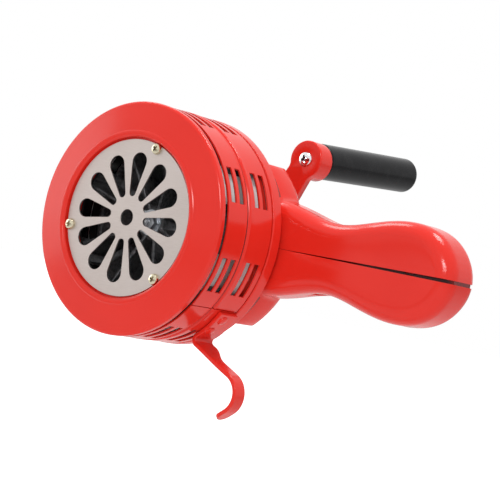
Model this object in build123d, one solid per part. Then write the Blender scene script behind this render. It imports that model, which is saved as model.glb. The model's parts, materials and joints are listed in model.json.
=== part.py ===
from build123d import *
from math import acos, cos, pi, radians, sin, sqrt, tan
import os

# Hand crank siren. Millimetres. The origin is on the drum's axis in the plane of the front face.
# +Y runs back along the drum's axis, +X out along the grip and +Z up. An angle round the drum
# is counted from +Z towards +X.

# --- fits ---
FIT_GAP = 0.02  # radial gap where one piece sits tight in another
SEAT_GAP = 0.05  # paint thickness between curved faces that are riveted together
RUN_GAP = 0.05  # radial running clearance of a shaft in its bearing
SLIDE_GAP = 0.08  # radial running clearance of the shutter on its lands
END_FLOAT = 0.3  # axial clearance beside a turning piece
THREAD_SPARE = 1.0  # thread that stands out past a nut, or hole that is left past a screw's tip

# --- front cap and grille ---
DRUM_R = 55.0
CAP_WEB = 3.0
CAP_DEPTH = 7.0
CAP_RIM_WALL = 2.5
CAP_ROUNDING = 4.2
WINDOW_R = 37.9
WINDOW_BEVEL = 1.6
GRILLE_SETBACK = 2.0
GRILLE_THICK = 1.0
GRILLE_EDGE_GAP = 0.2
LEDGE_WIDTH = 5.3
LEDGE_THICK = 2.5
PETALS = 12
PETAL_TURN = 2.0
PETAL_INNER_AT = 12.05
PETAL_INNER_R = 1.9
PETAL_OUTER_AT = 26.46
PETAL_OUTER_R = 4.4
GRILLE_EYE_R = 3.82
GRILLE_SCREWS = 3
GRILLE_SCREW_INSET = 2.9  # from the window's rim to the screws
GRILLE_SCREW_TURN = 16.6
GRILLE_SCREW_R = 1.5
GRILLE_SCREW_HEAD_R = 2.7
GRILLE_SCREW_HEAD = 1.6
CROSS_SPAN = 0.62  # length of a head's cross recess, as a share of the head's diameter
CROSS_WIDTH = 0.2  # width of the recess, as a share of the head's radius
CROSS_DEPTH = 0.55  # depth of the recess, as a share of the head's height
PAN_ROUNDING = 0.6  # rounding of a pan head, as a share of its height

# --- stator drum, shutter and back plate ---
SLEEVE_SPACE = 2.9  # from the stator's outside to the inside of the shutter
STATOR_WALL = 5.0
STATOR_WEB = 1.5
STATOR_END = 34.5
STATOR_END_RING = 2.0
PORTS = 8
PORT_ANGLE = 29.0
PORT_TURN = 41.5  # centre of one port, midway between two slot groups at rest
FRONT_LAND_AT = 9.3
FRONT_LAND = 1.1
SLEEVE_START = 9.0
SLEEVE_LENGTH = 33.5
SLEEVE_WALL = 1.1
SLOT_ANGLE = 18.0
SLOT_WIDTH = 3.0
SLOT_PITCH = 6.0
FRONT_BAND = 15.0
GROOVE_WIDTH = 2.0
GROOVE_DEPTH = 0.6
FRONT_SLOTS_AT = 2.0  # first slot row, from the front edge of each band
REAR_SLOTS_AT = 3.0
SHUTTER_THROW_ANGLE = 22.5
SLEEVE_SEAM_TURN = 127.3
SLEEVE_SEAM_WIDTH = 0.5
RING_START = 43.2
RING_LENGTH = 7.8
RING_ROUNDING = 0.8
COLLAR_WALL = 4.5
PLATE_WEB = 6.0
REAR_LAND_AT = 39.9
REAR_LAND = 2.3
STATOR_SCREWS = 4
STATOR_SCREW_R = 1.5
STATOR_SCREW_HEAD_R = 2.75
STATOR_SCREW_HEAD = 3.0
STATOR_SCREW_LENGTH = 21.0

# --- trigger hook, rivets and return spring ---
HOOK_THICK = 2.0
HOOK_BASE_START = 128.0
HOOK_BASE_END = 147.0
HOOK_BASE_WIDTH = 15.6
HOOK_BEND_R = 2.6
HOOK_LEAN_ANGLE = -23.5
HOOK_REACH = 25.5
HOOK_CURL_R = 9.6
HOOK_CURL_ANGLE = 118.0
HOOK_TIP = 6.0
HOOK_TIP_WIDTH = 7.4
HOOK_TIP_AT = 30.6  # front edge of the narrow end
HOOK_FRONT_TAPER = 17.9  # from the elbow to where the front edge has drawn in
HOOK_REAR_SHOULDER = 3.6  # from the elbow to where the rear edge starts to draw in
HOOK_REAR_TAPER = 9.2
RIVETS = 2
RIVET_R = 1.5
RIVET_HEAD_R = 2.6
RIVET_HEAD = 1.0
RIVET_ROUNDING = 0.8
RIVET_FIRST_TURN = 132.0
RIVET_STEP_ANGLE = 8.5
TAB_THICK = 1.6
TAB_WIDTH = 1.5
TAB_TURN = 168.0
STOP_TAB_TURN = 346.0
STOP_PIN_R = 1.0
STOP_GAP = 0.1
SPRING_POST_TURN = 184.0
SPRING_WIRE_R = 0.2
SPRING_COIL_R = 0.75
SPRING_TURNS = 9
SPRING_LAND_GAP = 0.35

# --- bearings, shafts and gears ---
ROTOR_SHAFT_R = 3.0
PINION_SEAT_R = 2.2
BEARING_R = 8.5
BEARING_WIDTH = 6.0
BEARING_FRONT_AT = 38.0
BEARING_SPACING = 8.0
BEARING_GROOVE = 0.35
BEARING_RACE = 1.65
BEARING_BOSS_WALL = 3.5
PLATE_BOSS_END = 53.0
MODULE = 0.75
WHEEL_TEETH = 54
PINION_TEETH = 12
PRESSURE_ANGLE = 20.0
BACKLASH = 0.16
ADDENDUM = 0.9
DEDENDUM = 1.25
WHEEL_WIDTH = 5.0
PINION_WIDTH = 6.4
WHEEL_RIM = 3.4
WHEEL_HUB_WALL = 2.8
WHEEL_WEB = 2.0
FIRST_STAGE_AT = 53.9  # front face of the rotor pinion
STAGE_STEP = 7.2  # from the first pair of gears to the second
LAYSHAFT_R = 2.2
BUSH_WALL = 1.8
BUSH_LENGTH = 4.5
CRANK_SHAFT_R = 5.0
CRANK_BUSH_WALL = 2.5
CRANK_BUSH_LENGTH = 28.9

# --- rotor ---
ROTOR_AIR_GAP = 0.6
ROTOR_RIM = 2.4
ROTOR_START = 10.2
ROTOR_END = 35.8
ROTOR_DISC = 2.4
ROTOR_HUB_R = 8.0
ROTOR_HUB_START = 20.0
VANES = 8
VANE_THICK = 1.8
NUT_ACROSS_FLATS = 10.0
NUT_THICK = 4.0
WASHER_R = 6.2
WASHER_THICK = 1.0

# --- gear case and grip ---
GEAR_CASE_GAP = 1.825  # from the tips of the layshaft's wheel to the case's wall
CASE_WALL = 3.0
CASE_END = 77.0
CASE_ROUNDING = 8.0
SPIGOT_R = 13.0
SPIGOT_END_R = 11.2
SPIGOT_END = 96.5
SPIGOT_FILLET = 3.0
CASE_SCREW_INSET = 10.5  # from the case's outside to the screws
CASE_SCREW_TURNS = (45.0, 135.0, -30.0, -150.0)
CASE_SCREW_R = 1.6
CASE_SCREW_HEAD_R = 3.0
CASE_SCREW_HEAD = 2.4
CASE_SCREW_BOSS_R = 4.2
CASE_SCREW_BITE = 5.0
GRIP_DEPTH = 25.0
GRIP_MID = 64.2
GRIP_END = 147.4
GRIP_ROOT_AT = 40.0
GRIP_ROOT_HALF = 23.6
GRIP_SHOULDER_AT = 58.0
GRIP_SHOULDER_HALF = 20.6
GRIP_NECK_IN = 67.4  # from the grip's end to its neck, and so on below
GRIP_NECK_HALF = 16.6
GRIP_SWELL_IN = 49.9
GRIP_SWELL_HALF = 19.9
GRIP_BULB_IN = 28.9
GRIP_BULB_HALF = 23.4
GRIP_TURN_IN = 10.9
GRIP_TURN_HALF = 18.8
GRIP_ROUNDING = 7.5
GRIP_WALL = 2.6
GRIP_INNER_ROUNDING = 4.5
GRIP_CAVITY_START = 54.0
SEAM_OPEN = 1.1  # width of the parting gap at the grip's end
SEAM_START = 46.0
GRIP_SCREW_INS = (75.4, 26.4)  # from the grip's end to its screws
GRIP_SCREW_R = 1.6
GRIP_SCREW_HEAD_R = 3.1
GRIP_SCREW_HEAD = 2.4
GRIP_SCREW_SINK = 9.0
GRIP_SCREW_BITE = 9.0
GRIP_PILLAR_R = 4.8

# --- crank and handle ---
CRANK_RADIUS = 52.3
CRANK_TURN = 25.4
ARM_AT = 99.0
ARM_THICK = 4.0
ARM_HUB_R = 10.5
ARM_BOSS_R = 9.6
ARM_BOSS_LENGTH = 10.0
ARM_HALF_WIDTH = 6.4
ARM_FLARE = 2.4
ARM_EDGE_R = 0.9
CRANK_THREAD_R = 4.0
CRANK_NUT_ACROSS_FLATS = 13.0
CRANK_NUT_THICK = 5.0
CRANK_WASHER_R = 8.0
CRANK_WASHER_THICK = 1.2
HANDLE_LEAN_ANGLE = 4.6  # the handle leans outwards from the drum's axis
HANDLE_R = 9.0
HANDLE_LENGTH = 76.5
HANDLE_EDGE_R = 2.6
HANDLE_PLUG = 9.0
HANDLE_RUN_GAP = 0.1
SPINDLE_R = 4.0
SNAP_RING = 0.5
SNAP_WIDTH = 1.6
SNAP_BACK = 6.0
HANDLE_SCREW_R = 2.4
HANDLE_SCREW_HEAD_R = 3.9
HANDLE_SCREW_HEAD = 2.4
HANDLE_SCREW_SINK = 1.0
HANDLE_SCREW_BITE = 9.0

# --- worked out from the sizes above ---
LEDGE_R = WINDOW_R - LEDGE_WIDTH
GRILLE_SCREW_AT = WINDOW_R - GRILLE_SCREW_INSET
GRILLE_BACK = GRILLE_SETBACK + GRILLE_THICK
LEDGE_BACK = GRILLE_BACK + LEDGE_THICK
PORT_START = LEDGE_BACK + STATOR_WEB
SLEEVE_BORE_R = DRUM_R - SLEEVE_WALL
LAND_R = SLEEVE_BORE_R - SLIDE_GAP
STATOR_R = SLEEVE_BORE_R - SLEEVE_SPACE
STATOR_BORE_R = STATOR_R - STATOR_WALL
SLEEVE_END = SLEEVE_START + SLEEVE_LENGTH
SLOT_GROUP_TURN = PORT_TURN + SHUTTER_THROW_ANGLE
REAR_BAND_START = SLEEVE_START + FRONT_BAND + GROOVE_WIDTH
RING_END = RING_START + RING_LENGTH
STATOR_SCREW_AT = STATOR_R - STATOR_WALL / 2
SPRING_DEPTH = REAR_LAND_AT - SPRING_COIL_R - SPRING_WIRE_R - SPRING_LAND_GAP
BEARING_REAR_AT = BEARING_FRONT_AT + BEARING_SPACING
ROTOR_R = STATOR_BORE_R - ROTOR_AIR_GAP
CENTRE_DISTANCE = MODULE * (WHEEL_TEETH + PINION_TEETH) / 2
SECOND_STAGE_AT = FIRST_STAGE_AT + STAGE_STEP
FIRST_STAGE_END = FIRST_STAGE_AT + PINION_WIDTH
CASE_R = CENTRE_DISTANCE + MODULE * (WHEEL_TEETH / 2 + ADDENDUM) + GEAR_CASE_GAP + CASE_WALL
CASE_SCREW_AT = CASE_R - CASE_SCREW_INSET
CASE_BACK_WALL = CASE_END - CASE_WALL
BUSH_REAR_AT = CASE_BACK_WALL - BUSH_LENGTH
BUSH_FRONT_AT = RING_END - BUSH_LENGTH
CRANK_BUSH_END = SPIGOT_END
CRANK_BUSH_AT = CRANK_BUSH_END - CRANK_BUSH_LENGTH
GRIP_FRONT = GRIP_MID - GRIP_DEPTH / 2
GRIP_BACK = GRIP_MID + GRIP_DEPTH / 2
HANDLE_START = ARM_BOSS_LENGTH + END_FLOAT


# --- shapes that several pieces use ---
def depth_plane(depth, x=0.0, z=0.0):
    """A plane whose normal is the drum's axis, at a depth behind the front face."""
    return Plane(origin=(x, depth, z), x_dir=(1, 0, 0), z_dir=(0, 1, 0))


def rod(radius, start, end, x=0.0, z=0.0):
    """A round bar along the drum's axis from one depth to another."""
    upright = (Align.CENTER, Align.CENTER, Align.MIN)
    return depth_plane(start, x, z) * Cylinder(radius, end - start, align=upright)


def tube(outer, inner, start, end, x=0.0, z=0.0):
    """A plain ring along the drum's axis."""
    return rod(outer, start, end, x, z) - rod(inner, start, end, x, z)


def turned(*points):
    """A body turned about the drum's axis from (radius, depth) corners."""
    return revolve(make_face(Polyline(*points, close=True)), Axis.Y)


def prism(outline, start, end):
    """An outline drawn in X and Z, made solid from one depth to another."""
    return extrude(Plane.XZ.offset(-start) * outline, amount=start - end)


def round_about(turn, shape):
    """A shape modelled at the top of the drum, carried round to its angle."""
    return Rot(0, turn, 0) * shape


def sector(angle, start, end, reach):
    """A wedge centred on the top of the drum, for cutting ports and slots."""
    half = radians(angle / 2)
    corner = reach * tan(half)
    return prism(Polygon((0, 0), (corner, reach), (-corner, reach), align=None), start, end)


def cross_recess(head_r, head):
    """The cross in a screw head whose top is at z = 0, facing up."""
    span = 2 * head_r * CROSS_SPAN
    width = head_r * CROSS_WIDTH
    blade = Box(span, width, 2 * head * CROSS_DEPTH)
    return blade + Rot(0, 0, 90) * blade


def pan_screw(shank_r, length, head_r, head):
    """A pan head screw along -Z: the underside of its head is at z = 0, its head above."""
    upright = (Align.CENTER, Align.CENTER, Align.MIN)
    top = Cylinder(head_r, head, align=upright)
    top = fillet(top.edges().sort_by(Axis.Z)[-1], head * PAN_ROUNDING)
    shank = Pos(0, 0, -length) * Cylinder(shank_r, length, align=upright)
    return top + shank - Pos(0, 0, head) * cross_recess(head_r, head)


def hexagon_nut(across_flats, thick, bore_r, start):
    """A hexagon nut about the drum's axis."""
    blank = prism(RegularPolygon(across_flats / 2, 6, major_radius=False), start, start + thick)
    return blank - rod(bore_r, start, start + thick)


def ball_bearing(start):
    """A shielded bearing: its two races are parted by a shallow groove on either face."""
    end = start + BEARING_WIDTH
    body = tube(BEARING_R, ROTOR_SHAFT_R + RUN_GAP, start, end)
    shield_outer = BEARING_R - BEARING_RACE
    shield_inner = ROTOR_SHAFT_R + BEARING_RACE
    body -= tube(shield_outer, shield_inner, start, start + BEARING_GROOVE)
    return body - tube(shield_outer, shield_inner, end - BEARING_GROOVE, end)


# --- front of the drum ---
def grille_screw_places():
    """The angles of the three grille screws."""
    return [GRILLE_SCREW_TURN + i * 360 / GRILLE_SCREWS for i in range(GRILLE_SCREWS)]


def grille_screw_holes(radius, start, end):
    """The screw holes through the grille and what lies behind it."""
    hole = rod(radius, start, end, z=GRILLE_SCREW_AT)
    return [round_about(turn, hole) for turn in grille_screw_places()]


def front_cap():
    """The cast cap: a rounded rim, a bevelled window and the ledge that carries the grille."""
    cap = rod(DRUM_R, 0, CAP_DEPTH)
    cap = fillet(cap.edges().sort_by(Axis.Y)[0], CAP_ROUNDING)
    cap -= turned((0, 0), (WINDOW_R + WINDOW_BEVEL, 0), (WINDOW_R, GRILLE_SETBACK), (0, GRILLE_SETBACK))
    cap -= rod(WINDOW_R, 0, GRILLE_BACK)
    cap -= rod(LEDGE_R, 0, CAP_DEPTH)
    rim_bore = DRUM_R - CAP_RIM_WALL
    cap -= rod(rim_bore, LEDGE_BACK, CAP_DEPTH)
    cap -= tube(rim_bore, WINDOW_R + CAP_WEB, CAP_WEB, CAP_DEPTH)
    return cap - grille_screw_holes(GRILLE_SCREW_R + FIT_GAP, 0, CAP_DEPTH)


def petal():
    """One tear-shaped opening of the grille, at the top of the plate."""
    inner = Pos(0, PETAL_INNER_AT) * Circle(PETAL_INNER_R)
    outer = Pos(0, PETAL_OUTER_AT) * Circle(PETAL_OUTER_R)
    return make_hull((inner + outer).edges())


def grille_plate():
    """The pressed steel grille with its ring of petals."""
    plate = Circle(WINDOW_R - GRILLE_EDGE_GAP) - Circle(GRILLE_EYE_R)
    for i in range(PETALS):
        plate -= Rot(0, 0, -PETAL_TURN - i * 360 / PETALS) * petal()
    solid = prism(plate, GRILLE_SETBACK, GRILLE_BACK)
    return solid - grille_screw_holes(GRILLE_SCREW_R + FIT_GAP, GRILLE_SETBACK, GRILLE_BACK)


def grille_screws():
    """Three pan heads that hold the grille and the cap on the stator."""
    length = PORT_START + STATOR_WEB - GRILLE_SETBACK
    screw = pan_screw(GRILLE_SCREW_R, length, GRILLE_SCREW_HEAD_R, GRILLE_SCREW_HEAD)
    front = Plane(origin=(0, GRILLE_SETBACK, GRILLE_SCREW_AT), x_dir=(1, 0, 0), z_dir=(0, -1, 0))
    return [round_about(turn, front * screw) for turn in grille_screw_places()]


# --- stator, shutter and back plate ---
def stator_drum():
    """The bare casting inside the shutter: a front web, eight bars with ports between, an end ring."""
    drum = tube(STATOR_R, STATOR_BORE_R, LEDGE_BACK, STATOR_END)
    drum += tube(STATOR_BORE_R, LEDGE_R, LEDGE_BACK, PORT_START)
    for i in range(PORTS):
        port = sector(PORT_ANGLE, PORT_START, STATOR_END - STATOR_END_RING, DRUM_R)
        drum -= round_about(PORT_TURN + i * 360 / PORTS, port)
    drum += tube(LAND_R, STATOR_BORE_R + STATOR_WALL / 2, FRONT_LAND_AT, FRONT_LAND_AT + FRONT_LAND)
    boss_end = PORT_START + STATOR_WEB
    boss = rod(2 * GRILLE_SCREW_R, LEDGE_BACK, boss_end, z=GRILLE_SCREW_AT)
    for turn in grille_screw_places():
        drum += round_about(turn, boss)
    drum -= grille_screw_holes(GRILLE_SCREW_R + FIT_GAP, LEDGE_BACK, boss_end)
    return drum - stator_screw_holes(STATOR_SCREW_R + FIT_GAP, stator_screw_tip() - THREAD_SPARE, STATOR_END)


def stator_screw_tip():
    """How far forward the stator screws reach."""
    return RING_END - STATOR_SCREW_HEAD - STATOR_SCREW_LENGTH


def stator_screw_places():
    """The screws go into every second bar of the stator."""
    first_bar = PORT_TURN + 180 / PORTS
    return [first_bar + i * 360 / STATOR_SCREWS for i in range(STATOR_SCREWS)]


def stator_screw_holes(radius, start, end):
    """The holes for the long screws that hold the stator on the back plate."""
    hole = rod(radius, start, end, z=STATOR_SCREW_AT)
    return [round_about(turn, hole) for turn in stator_screw_places()]


def stator_screws():
    """Four long screws from behind, through the back plate into the stator's bars."""
    screw = pan_screw(STATOR_SCREW_R, STATOR_SCREW_LENGTH, STATOR_SCREW_HEAD_R, STATOR_SCREW_HEAD - FIT_GAP)
    seat = depth_plane(RING_END - STATOR_SCREW_HEAD, z=STATOR_SCREW_AT)
    return [round_about(turn, seat * screw) for turn in stator_screw_places()]


def back_plate():
    """The rear ring with its collar, shutter land, web and the boss for the rotor's bearings."""
    ring = rod(DRUM_R, RING_START, RING_END)
    ring = fillet(ring.edges().filter_by(GeomType.CIRCLE), RING_ROUNDING)
    plate = ring + rod(STATOR_R, STATOR_END, RING_END)
    plate += rod(LAND_R, REAR_LAND_AT, REAR_LAND_AT + REAR_LAND)
    plate -= rod(STATOR_R - COLLAR_WALL, STATOR_END, RING_END - PLATE_WEB)
    boss_r = BEARING_R + BEARING_BOSS_WALL
    plate += rod(boss_r, BEARING_FRONT_AT, PLATE_BOSS_END)
    shoulder_r = (BEARING_R + ROTOR_SHAFT_R) / 2
    plate -= rod(shoulder_r, BEARING_FRONT_AT, PLATE_BOSS_END)
    seat_r = BEARING_R + FIT_GAP
    plate -= rod(seat_r, BEARING_FRONT_AT, BEARING_FRONT_AT + BEARING_WIDTH)
    plate -= rod(seat_r, BEARING_REAR_AT, PLATE_BOSS_END)
    plate -= rod(LAYSHAFT_R + BUSH_WALL + FIT_GAP, BUSH_FRONT_AT, RING_END, x=-CENTRE_DISTANCE)
    plate -= stator_screw_holes(STATOR_SCREW_R + FIT_GAP, STATOR_END, RING_END)
    plate -= stator_screw_holes(STATOR_SCREW_HEAD_R + FIT_GAP, RING_END - STATOR_SCREW_HEAD, RING_END)
    plate -= case_screw_bores(CASE_SCREW_R + FIT_GAP, RING_END - CASE_SCREW_BITE, RING_END)
    plate -= collar_pin_holes()
    return plate


def shutter_slots():
    """The cutters for the slots: four rows in each of the eight groups."""
    rows = [SLEEVE_START + FRONT_SLOTS_AT + i * SLOT_PITCH for i in range(2)]
    rows += [REAR_BAND_START + REAR_SLOTS_AT + i * SLOT_PITCH for i in range(2)]
    group = [sector(SLOT_ANGLE, row, row + SLOT_WIDTH, 2 * DRUM_R) for row in rows]
    cutters = []
    for i in range(PORTS):
        turn = SLOT_GROUP_TURN + i * 360 / PORTS
        cutters += [round_about(turn, slot) for slot in group]
    return cutters


def shutter_sleeve():
    """The rolled strip that turns on the lands: two slotted bands with a rolled groove between."""
    groove_start = SLEEVE_START + FRONT_BAND
    flat = GROOVE_WIDTH / 4
    sleeve = turned(
        (SLEEVE_BORE_R, SLEEVE_START),
        (DRUM_R, SLEEVE_START),
        (DRUM_R, groove_start),
        (DRUM_R - GROOVE_DEPTH, groove_start + flat),
        (DRUM_R - GROOVE_DEPTH, REAR_BAND_START - flat),
        (DRUM_R, REAR_BAND_START),
        (DRUM_R, SLEEVE_END),
        (SLEEVE_BORE_R, SLEEVE_END),
        (SLEEVE_BORE_R, REAR_BAND_START),
        (SLEEVE_BORE_R - GROOVE_DEPTH, REAR_BAND_START - flat),
        (SLEEVE_BORE_R - GROOVE_DEPTH, groove_start + flat),
        (SLEEVE_BORE_R, groove_start),
    )
    sleeve -= shutter_slots()
    seam = Box(SLEEVE_SEAM_WIDTH, 2 * SLEEVE_LENGTH, DRUM_R, align=(Align.CENTER, Align.CENTER, Align.MIN))
    sleeve -= round_about(SLEEVE_SEAM_TURN, Pos(0, SLEEVE_END, DRUM_R / 2) * seam)
    tab_height = SLEEVE_SPACE - SLIDE_GAP - END_FLOAT + SLEEVE_WALL / 2
    tab = Box(TAB_THICK, TAB_WIDTH, tab_height, align=(Align.CENTER, Align.CENTER, Align.MAX))
    for turn in (TAB_TURN, STOP_TAB_TURN):
        sleeve += round_about(turn, Pos(0, SPRING_DEPTH, SLEEVE_BORE_R + SLEEVE_WALL / 2) * tab)
    return sleeve - rivet_places(RIVET_R + FIT_GAP)


# --- trigger ---
def rivet_places(radius):
    """The rivets' shanks, along the middle of the rear band."""
    depth = (REAR_BAND_START + SLEEVE_END) / 2
    reach = DRUM_R / 2 + 3 * HOOK_THICK
    shank = Cylinder(radius, reach, align=(Align.CENTER, Align.CENTER, Align.MIN))
    turns = [RIVET_FIRST_TURN + i * RIVET_STEP_ANGLE for i in range(RIVETS)]
    return [round_about(turn, Pos(0, depth, DRUM_R / 2) * shank) for turn in turns]


def hook_outline():
    """The hook's strip from the side: along the drum, sharply back, straight out and round the curl."""
    middle_r = DRUM_R + SEAT_GAP + HOOK_THICK / 2
    angle = radians(HOOK_BASE_START)
    start = (middle_r * sin(angle), middle_r * cos(angle))
    base = JernArc(start, (cos(angle), -sin(angle)), middle_r, HOOK_BASE_START - HOOK_BASE_END)
    bend = JernArc(base @ 1, base % 1, HOOK_BEND_R, HOOK_LEAN_ANGLE + HOOK_BASE_END)
    reach = Line(bend @ 1, bend @ 1 + (bend % 1) * HOOK_REACH)
    curl = JernArc(reach @ 1, reach % 1, HOOK_CURL_R, -HOOK_CURL_ANGLE)
    tip = Line(curl @ 1, curl @ 1 + (curl % 1) * HOOK_TIP)
    strip = trace([base, bend, reach, curl, tip], HOOK_THICK)
    return strip + Pos((tip @ 1).X, (tip @ 1).Y) * Circle(HOOK_THICK / 2), bend


def trigger_hook():
    """The bent strip: its wide base is riveted on the rear band, and it narrows to the finger's curl."""
    outline, bend = hook_outline()
    front = (REAR_BAND_START + SLEEVE_END - HOOK_BASE_WIDTH) / 2
    rear = front + HOOK_BASE_WIDTH
    strip = prism(outline, front, rear)
    elbow = bend @ 1
    narrow_rear = HOOK_TIP_AT + HOOK_TIP_WIDTH
    out = DRUM_R + HOOK_REACH
    plan = Polygon(
        (0, front),
        (elbow.X, front),
        (elbow.X + HOOK_FRONT_TAPER, HOOK_TIP_AT),
        (out, HOOK_TIP_AT),
        (out, narrow_rear),
        (elbow.X + HOOK_REAR_TAPER, narrow_rear),
        (elbow.X + HOOK_REAR_SHOULDER, rear),
        (0, rear),
    )
    shoulder = plan.vertices().sort_by(Axis.X)[3:5].sort_by(Axis.Y)[-1]
    plan = fillet(shoulder, HOOK_TIP_WIDTH / 2)
    finger = strip & (Pos(0, 0, bend.arc_center.Y - 2 * DRUM_R) * extrude(plan, 2 * DRUM_R))
    base = strip & (Pos(0, 0, bend.arc_center.Y + DRUM_R) * Box(4 * DRUM_R, 4 * DRUM_R, 2 * DRUM_R))
    return base + finger - rivet_places(RIVET_R + FIT_GAP)


def hook_rivets():
    """Two rivets through the hook's base and the sleeve, domed outside and flat inside."""
    outer = DRUM_R + SEAT_GAP + HOOK_THICK
    inner = sqrt(SLEEVE_BORE_R**2 - RIVET_HEAD_R**2) - FIT_GAP
    upright = (Align.CENTER, Align.CENTER, Align.MIN)
    dome = Cylinder(RIVET_HEAD_R, RIVET_HEAD, align=upright)
    dome = fillet(dome.edges().sort_by(Axis.Z)[-1], RIVET_ROUNDING)
    rivet = Pos(0, 0, outer) * dome
    rivet += Pos(0, 0, inner) * Cylinder(RIVET_R, outer - inner, align=upright)
    rivet += Pos(0, 0, inner - RIVET_HEAD / 2) * Cylinder(RIVET_HEAD_R, RIVET_HEAD / 2, align=upright)
    depth = (REAR_BAND_START + SLEEVE_END) / 2
    return [round_about(RIVET_FIRST_TURN + i * RIVET_STEP_ANGLE, Pos(0, depth, 0) * rivet) for i in range(RIVETS)]


def stop_pin_turns():
    """The two stop pins stand just past the stop tab's places at rest and with the trigger pulled."""
    reach_r = (STATOR_R + SLEEVE_BORE_R) / 2
    half = (TAB_THICK / 2 + STOP_PIN_R + STOP_GAP) / reach_r * 180 / pi
    return (STOP_TAB_TURN + half, STOP_TAB_TURN - SHUTTER_THROW_ANGLE - half)


def collar_pin(turn, radius, inner):
    """A short pin standing out of the collar."""
    outer = SLEEVE_BORE_R - SLIDE_GAP - END_FLOAT
    pin = Cylinder(radius, outer - inner, align=(Align.CENTER, Align.CENTER, Align.MIN))
    return round_about(turn, Pos(0, SPRING_DEPTH, inner) * pin)


def collar_pin_holes():
    """The holes in the collar for the stop pins and the spring's post."""
    turns = (*stop_pin_turns(), SPRING_POST_TURN)
    return [collar_pin(turn, STOP_PIN_R + FIT_GAP, STATOR_R - COLLAR_WALL / 2) for turn in turns]


def stop_pins():
    """The pins that end the shutter's travel."""
    return [collar_pin(turn, STOP_PIN_R, STATOR_R - COLLAR_WALL / 2) for turn in stop_pin_turns()]


def spring_post():
    """The fixed end of the return spring."""
    return collar_pin(SPRING_POST_TURN, STOP_PIN_R, STATOR_R - COLLAR_WALL / 2)


def return_spring():
    """The coil that pulls the shutter back, lying in the gap between the collar and the sleeve."""
    middle_r = (STATOR_R + SLEEVE_BORE_R) / 2
    first = radians(TAB_TURN)
    last = radians(SPRING_POST_TURN)
    start = Vector(middle_r * sin(first), SPRING_DEPTH, middle_r * cos(first))
    end = Vector(middle_r * sin(last), SPRING_DEPTH, middle_r * cos(last))
    along = (end - start).normalized()
    clear = STOP_PIN_R + END_FLOAT
    length = (end - start).length - 2 * clear
    pitch = length / SPRING_TURNS
    coil = Helix(pitch, length, SPRING_COIL_R, center=start + along * clear, direction=along)
    section = Plane(origin=coil @ 0, z_dir=coil % 0) * Circle(SPRING_WIRE_R)
    return sweep(section, path=coil, is_frenet=True)


# --- gears, shafts and bearings ---
def tooth_half_angle(teeth, radius):
    """Half the angle that a tooth fills at a radius, for an involute flank."""
    pitch_r = MODULE * teeth / 2
    base_r = pitch_r * cos(radians(PRESSURE_ANGLE))
    angle = acos(base_r / max(radius, base_r))
    at_pitch = radians(PRESSURE_ANGLE)
    involute_drop = (tan(at_pitch) - at_pitch) - (tan(angle) - angle)
    return pi / (2 * teeth) - BACKLASH / (4 * pitch_r) + involute_drop


def gear_blank(teeth, start, width, x, first_tooth):
    """A spur gear about (x, 0), with one tooth's middle at an angle from +X towards +Z, in degrees."""
    pitch_r = MODULE * teeth / 2
    root_r = pitch_r - DEDENDUM * MODULE
    tip_r = pitch_r + ADDENDUM * MODULE
    radii = (root_r, max(root_r, pitch_r - ADDENDUM * MODULE / 2), pitch_r + ADDENDUM * MODULE / 3, tip_r)
    corners = []
    for i in range(teeth):
        middle = radians(first_tooth) + 2 * pi * i / teeth
        flank = [(r, tooth_half_angle(teeth, r)) for r in radii]
        corners += [(x + r * cos(middle - half), r * sin(middle - half)) for r, half in flank]
        corners += [(x + r * cos(middle + half), r * sin(middle + half)) for r, half in reversed(flank)]
    return prism(make_face(Polyline(*corners, close=True)), start, start + width)


def wheel(start, bore_r, x, first_tooth):
    """A large gear with a thinned web between its rim and its hub."""
    blank = gear_blank(WHEEL_TEETH, start, WHEEL_WIDTH, x, first_tooth)
    rim_bore = MODULE * WHEEL_TEETH / 2 - WHEEL_RIM
    recess = (WHEEL_WIDTH - WHEEL_WEB) / 2
    hub_r = bore_r + WHEEL_HUB_WALL
    blank -= tube(rim_bore, hub_r, start, start + recess, x)
    blank -= tube(rim_bore, hub_r, start + WHEEL_WIDTH - recess, start + WHEEL_WIDTH, x)
    return blank - rod(bore_r + FIT_GAP, start, start + WHEEL_WIDTH, x)


def pinion(start, bore_r, x):
    """A small gear."""
    blank = gear_blank(PINION_TEETH, start, PINION_WIDTH, x, 0)
    return blank - rod(bore_r + FIT_GAP, start, start + PINION_WIDTH, x)


def wheel_offset():
    """How far a wheel's front face lies behind its pinion's, so that it runs on the pinion's middle."""
    return (PINION_WIDTH - WHEEL_WIDTH) / 2


def rotor_shaft():
    """The stepped shaft: thread at the front, bearing seats, and the pinion's seat at the back."""
    thread_start = ROTOR_HUB_START - WASHER_THICK - NUT_THICK - THREAD_SPARE
    shaft = rod(ROTOR_SHAFT_R, ROTOR_HUB_START, FIRST_STAGE_AT)
    shaft += rod(PINION_SEAT_R, FIRST_STAGE_AT, FIRST_STAGE_END)
    return shaft + rod(PINION_SEAT_R, thread_start, ROTOR_HUB_START)


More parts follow.
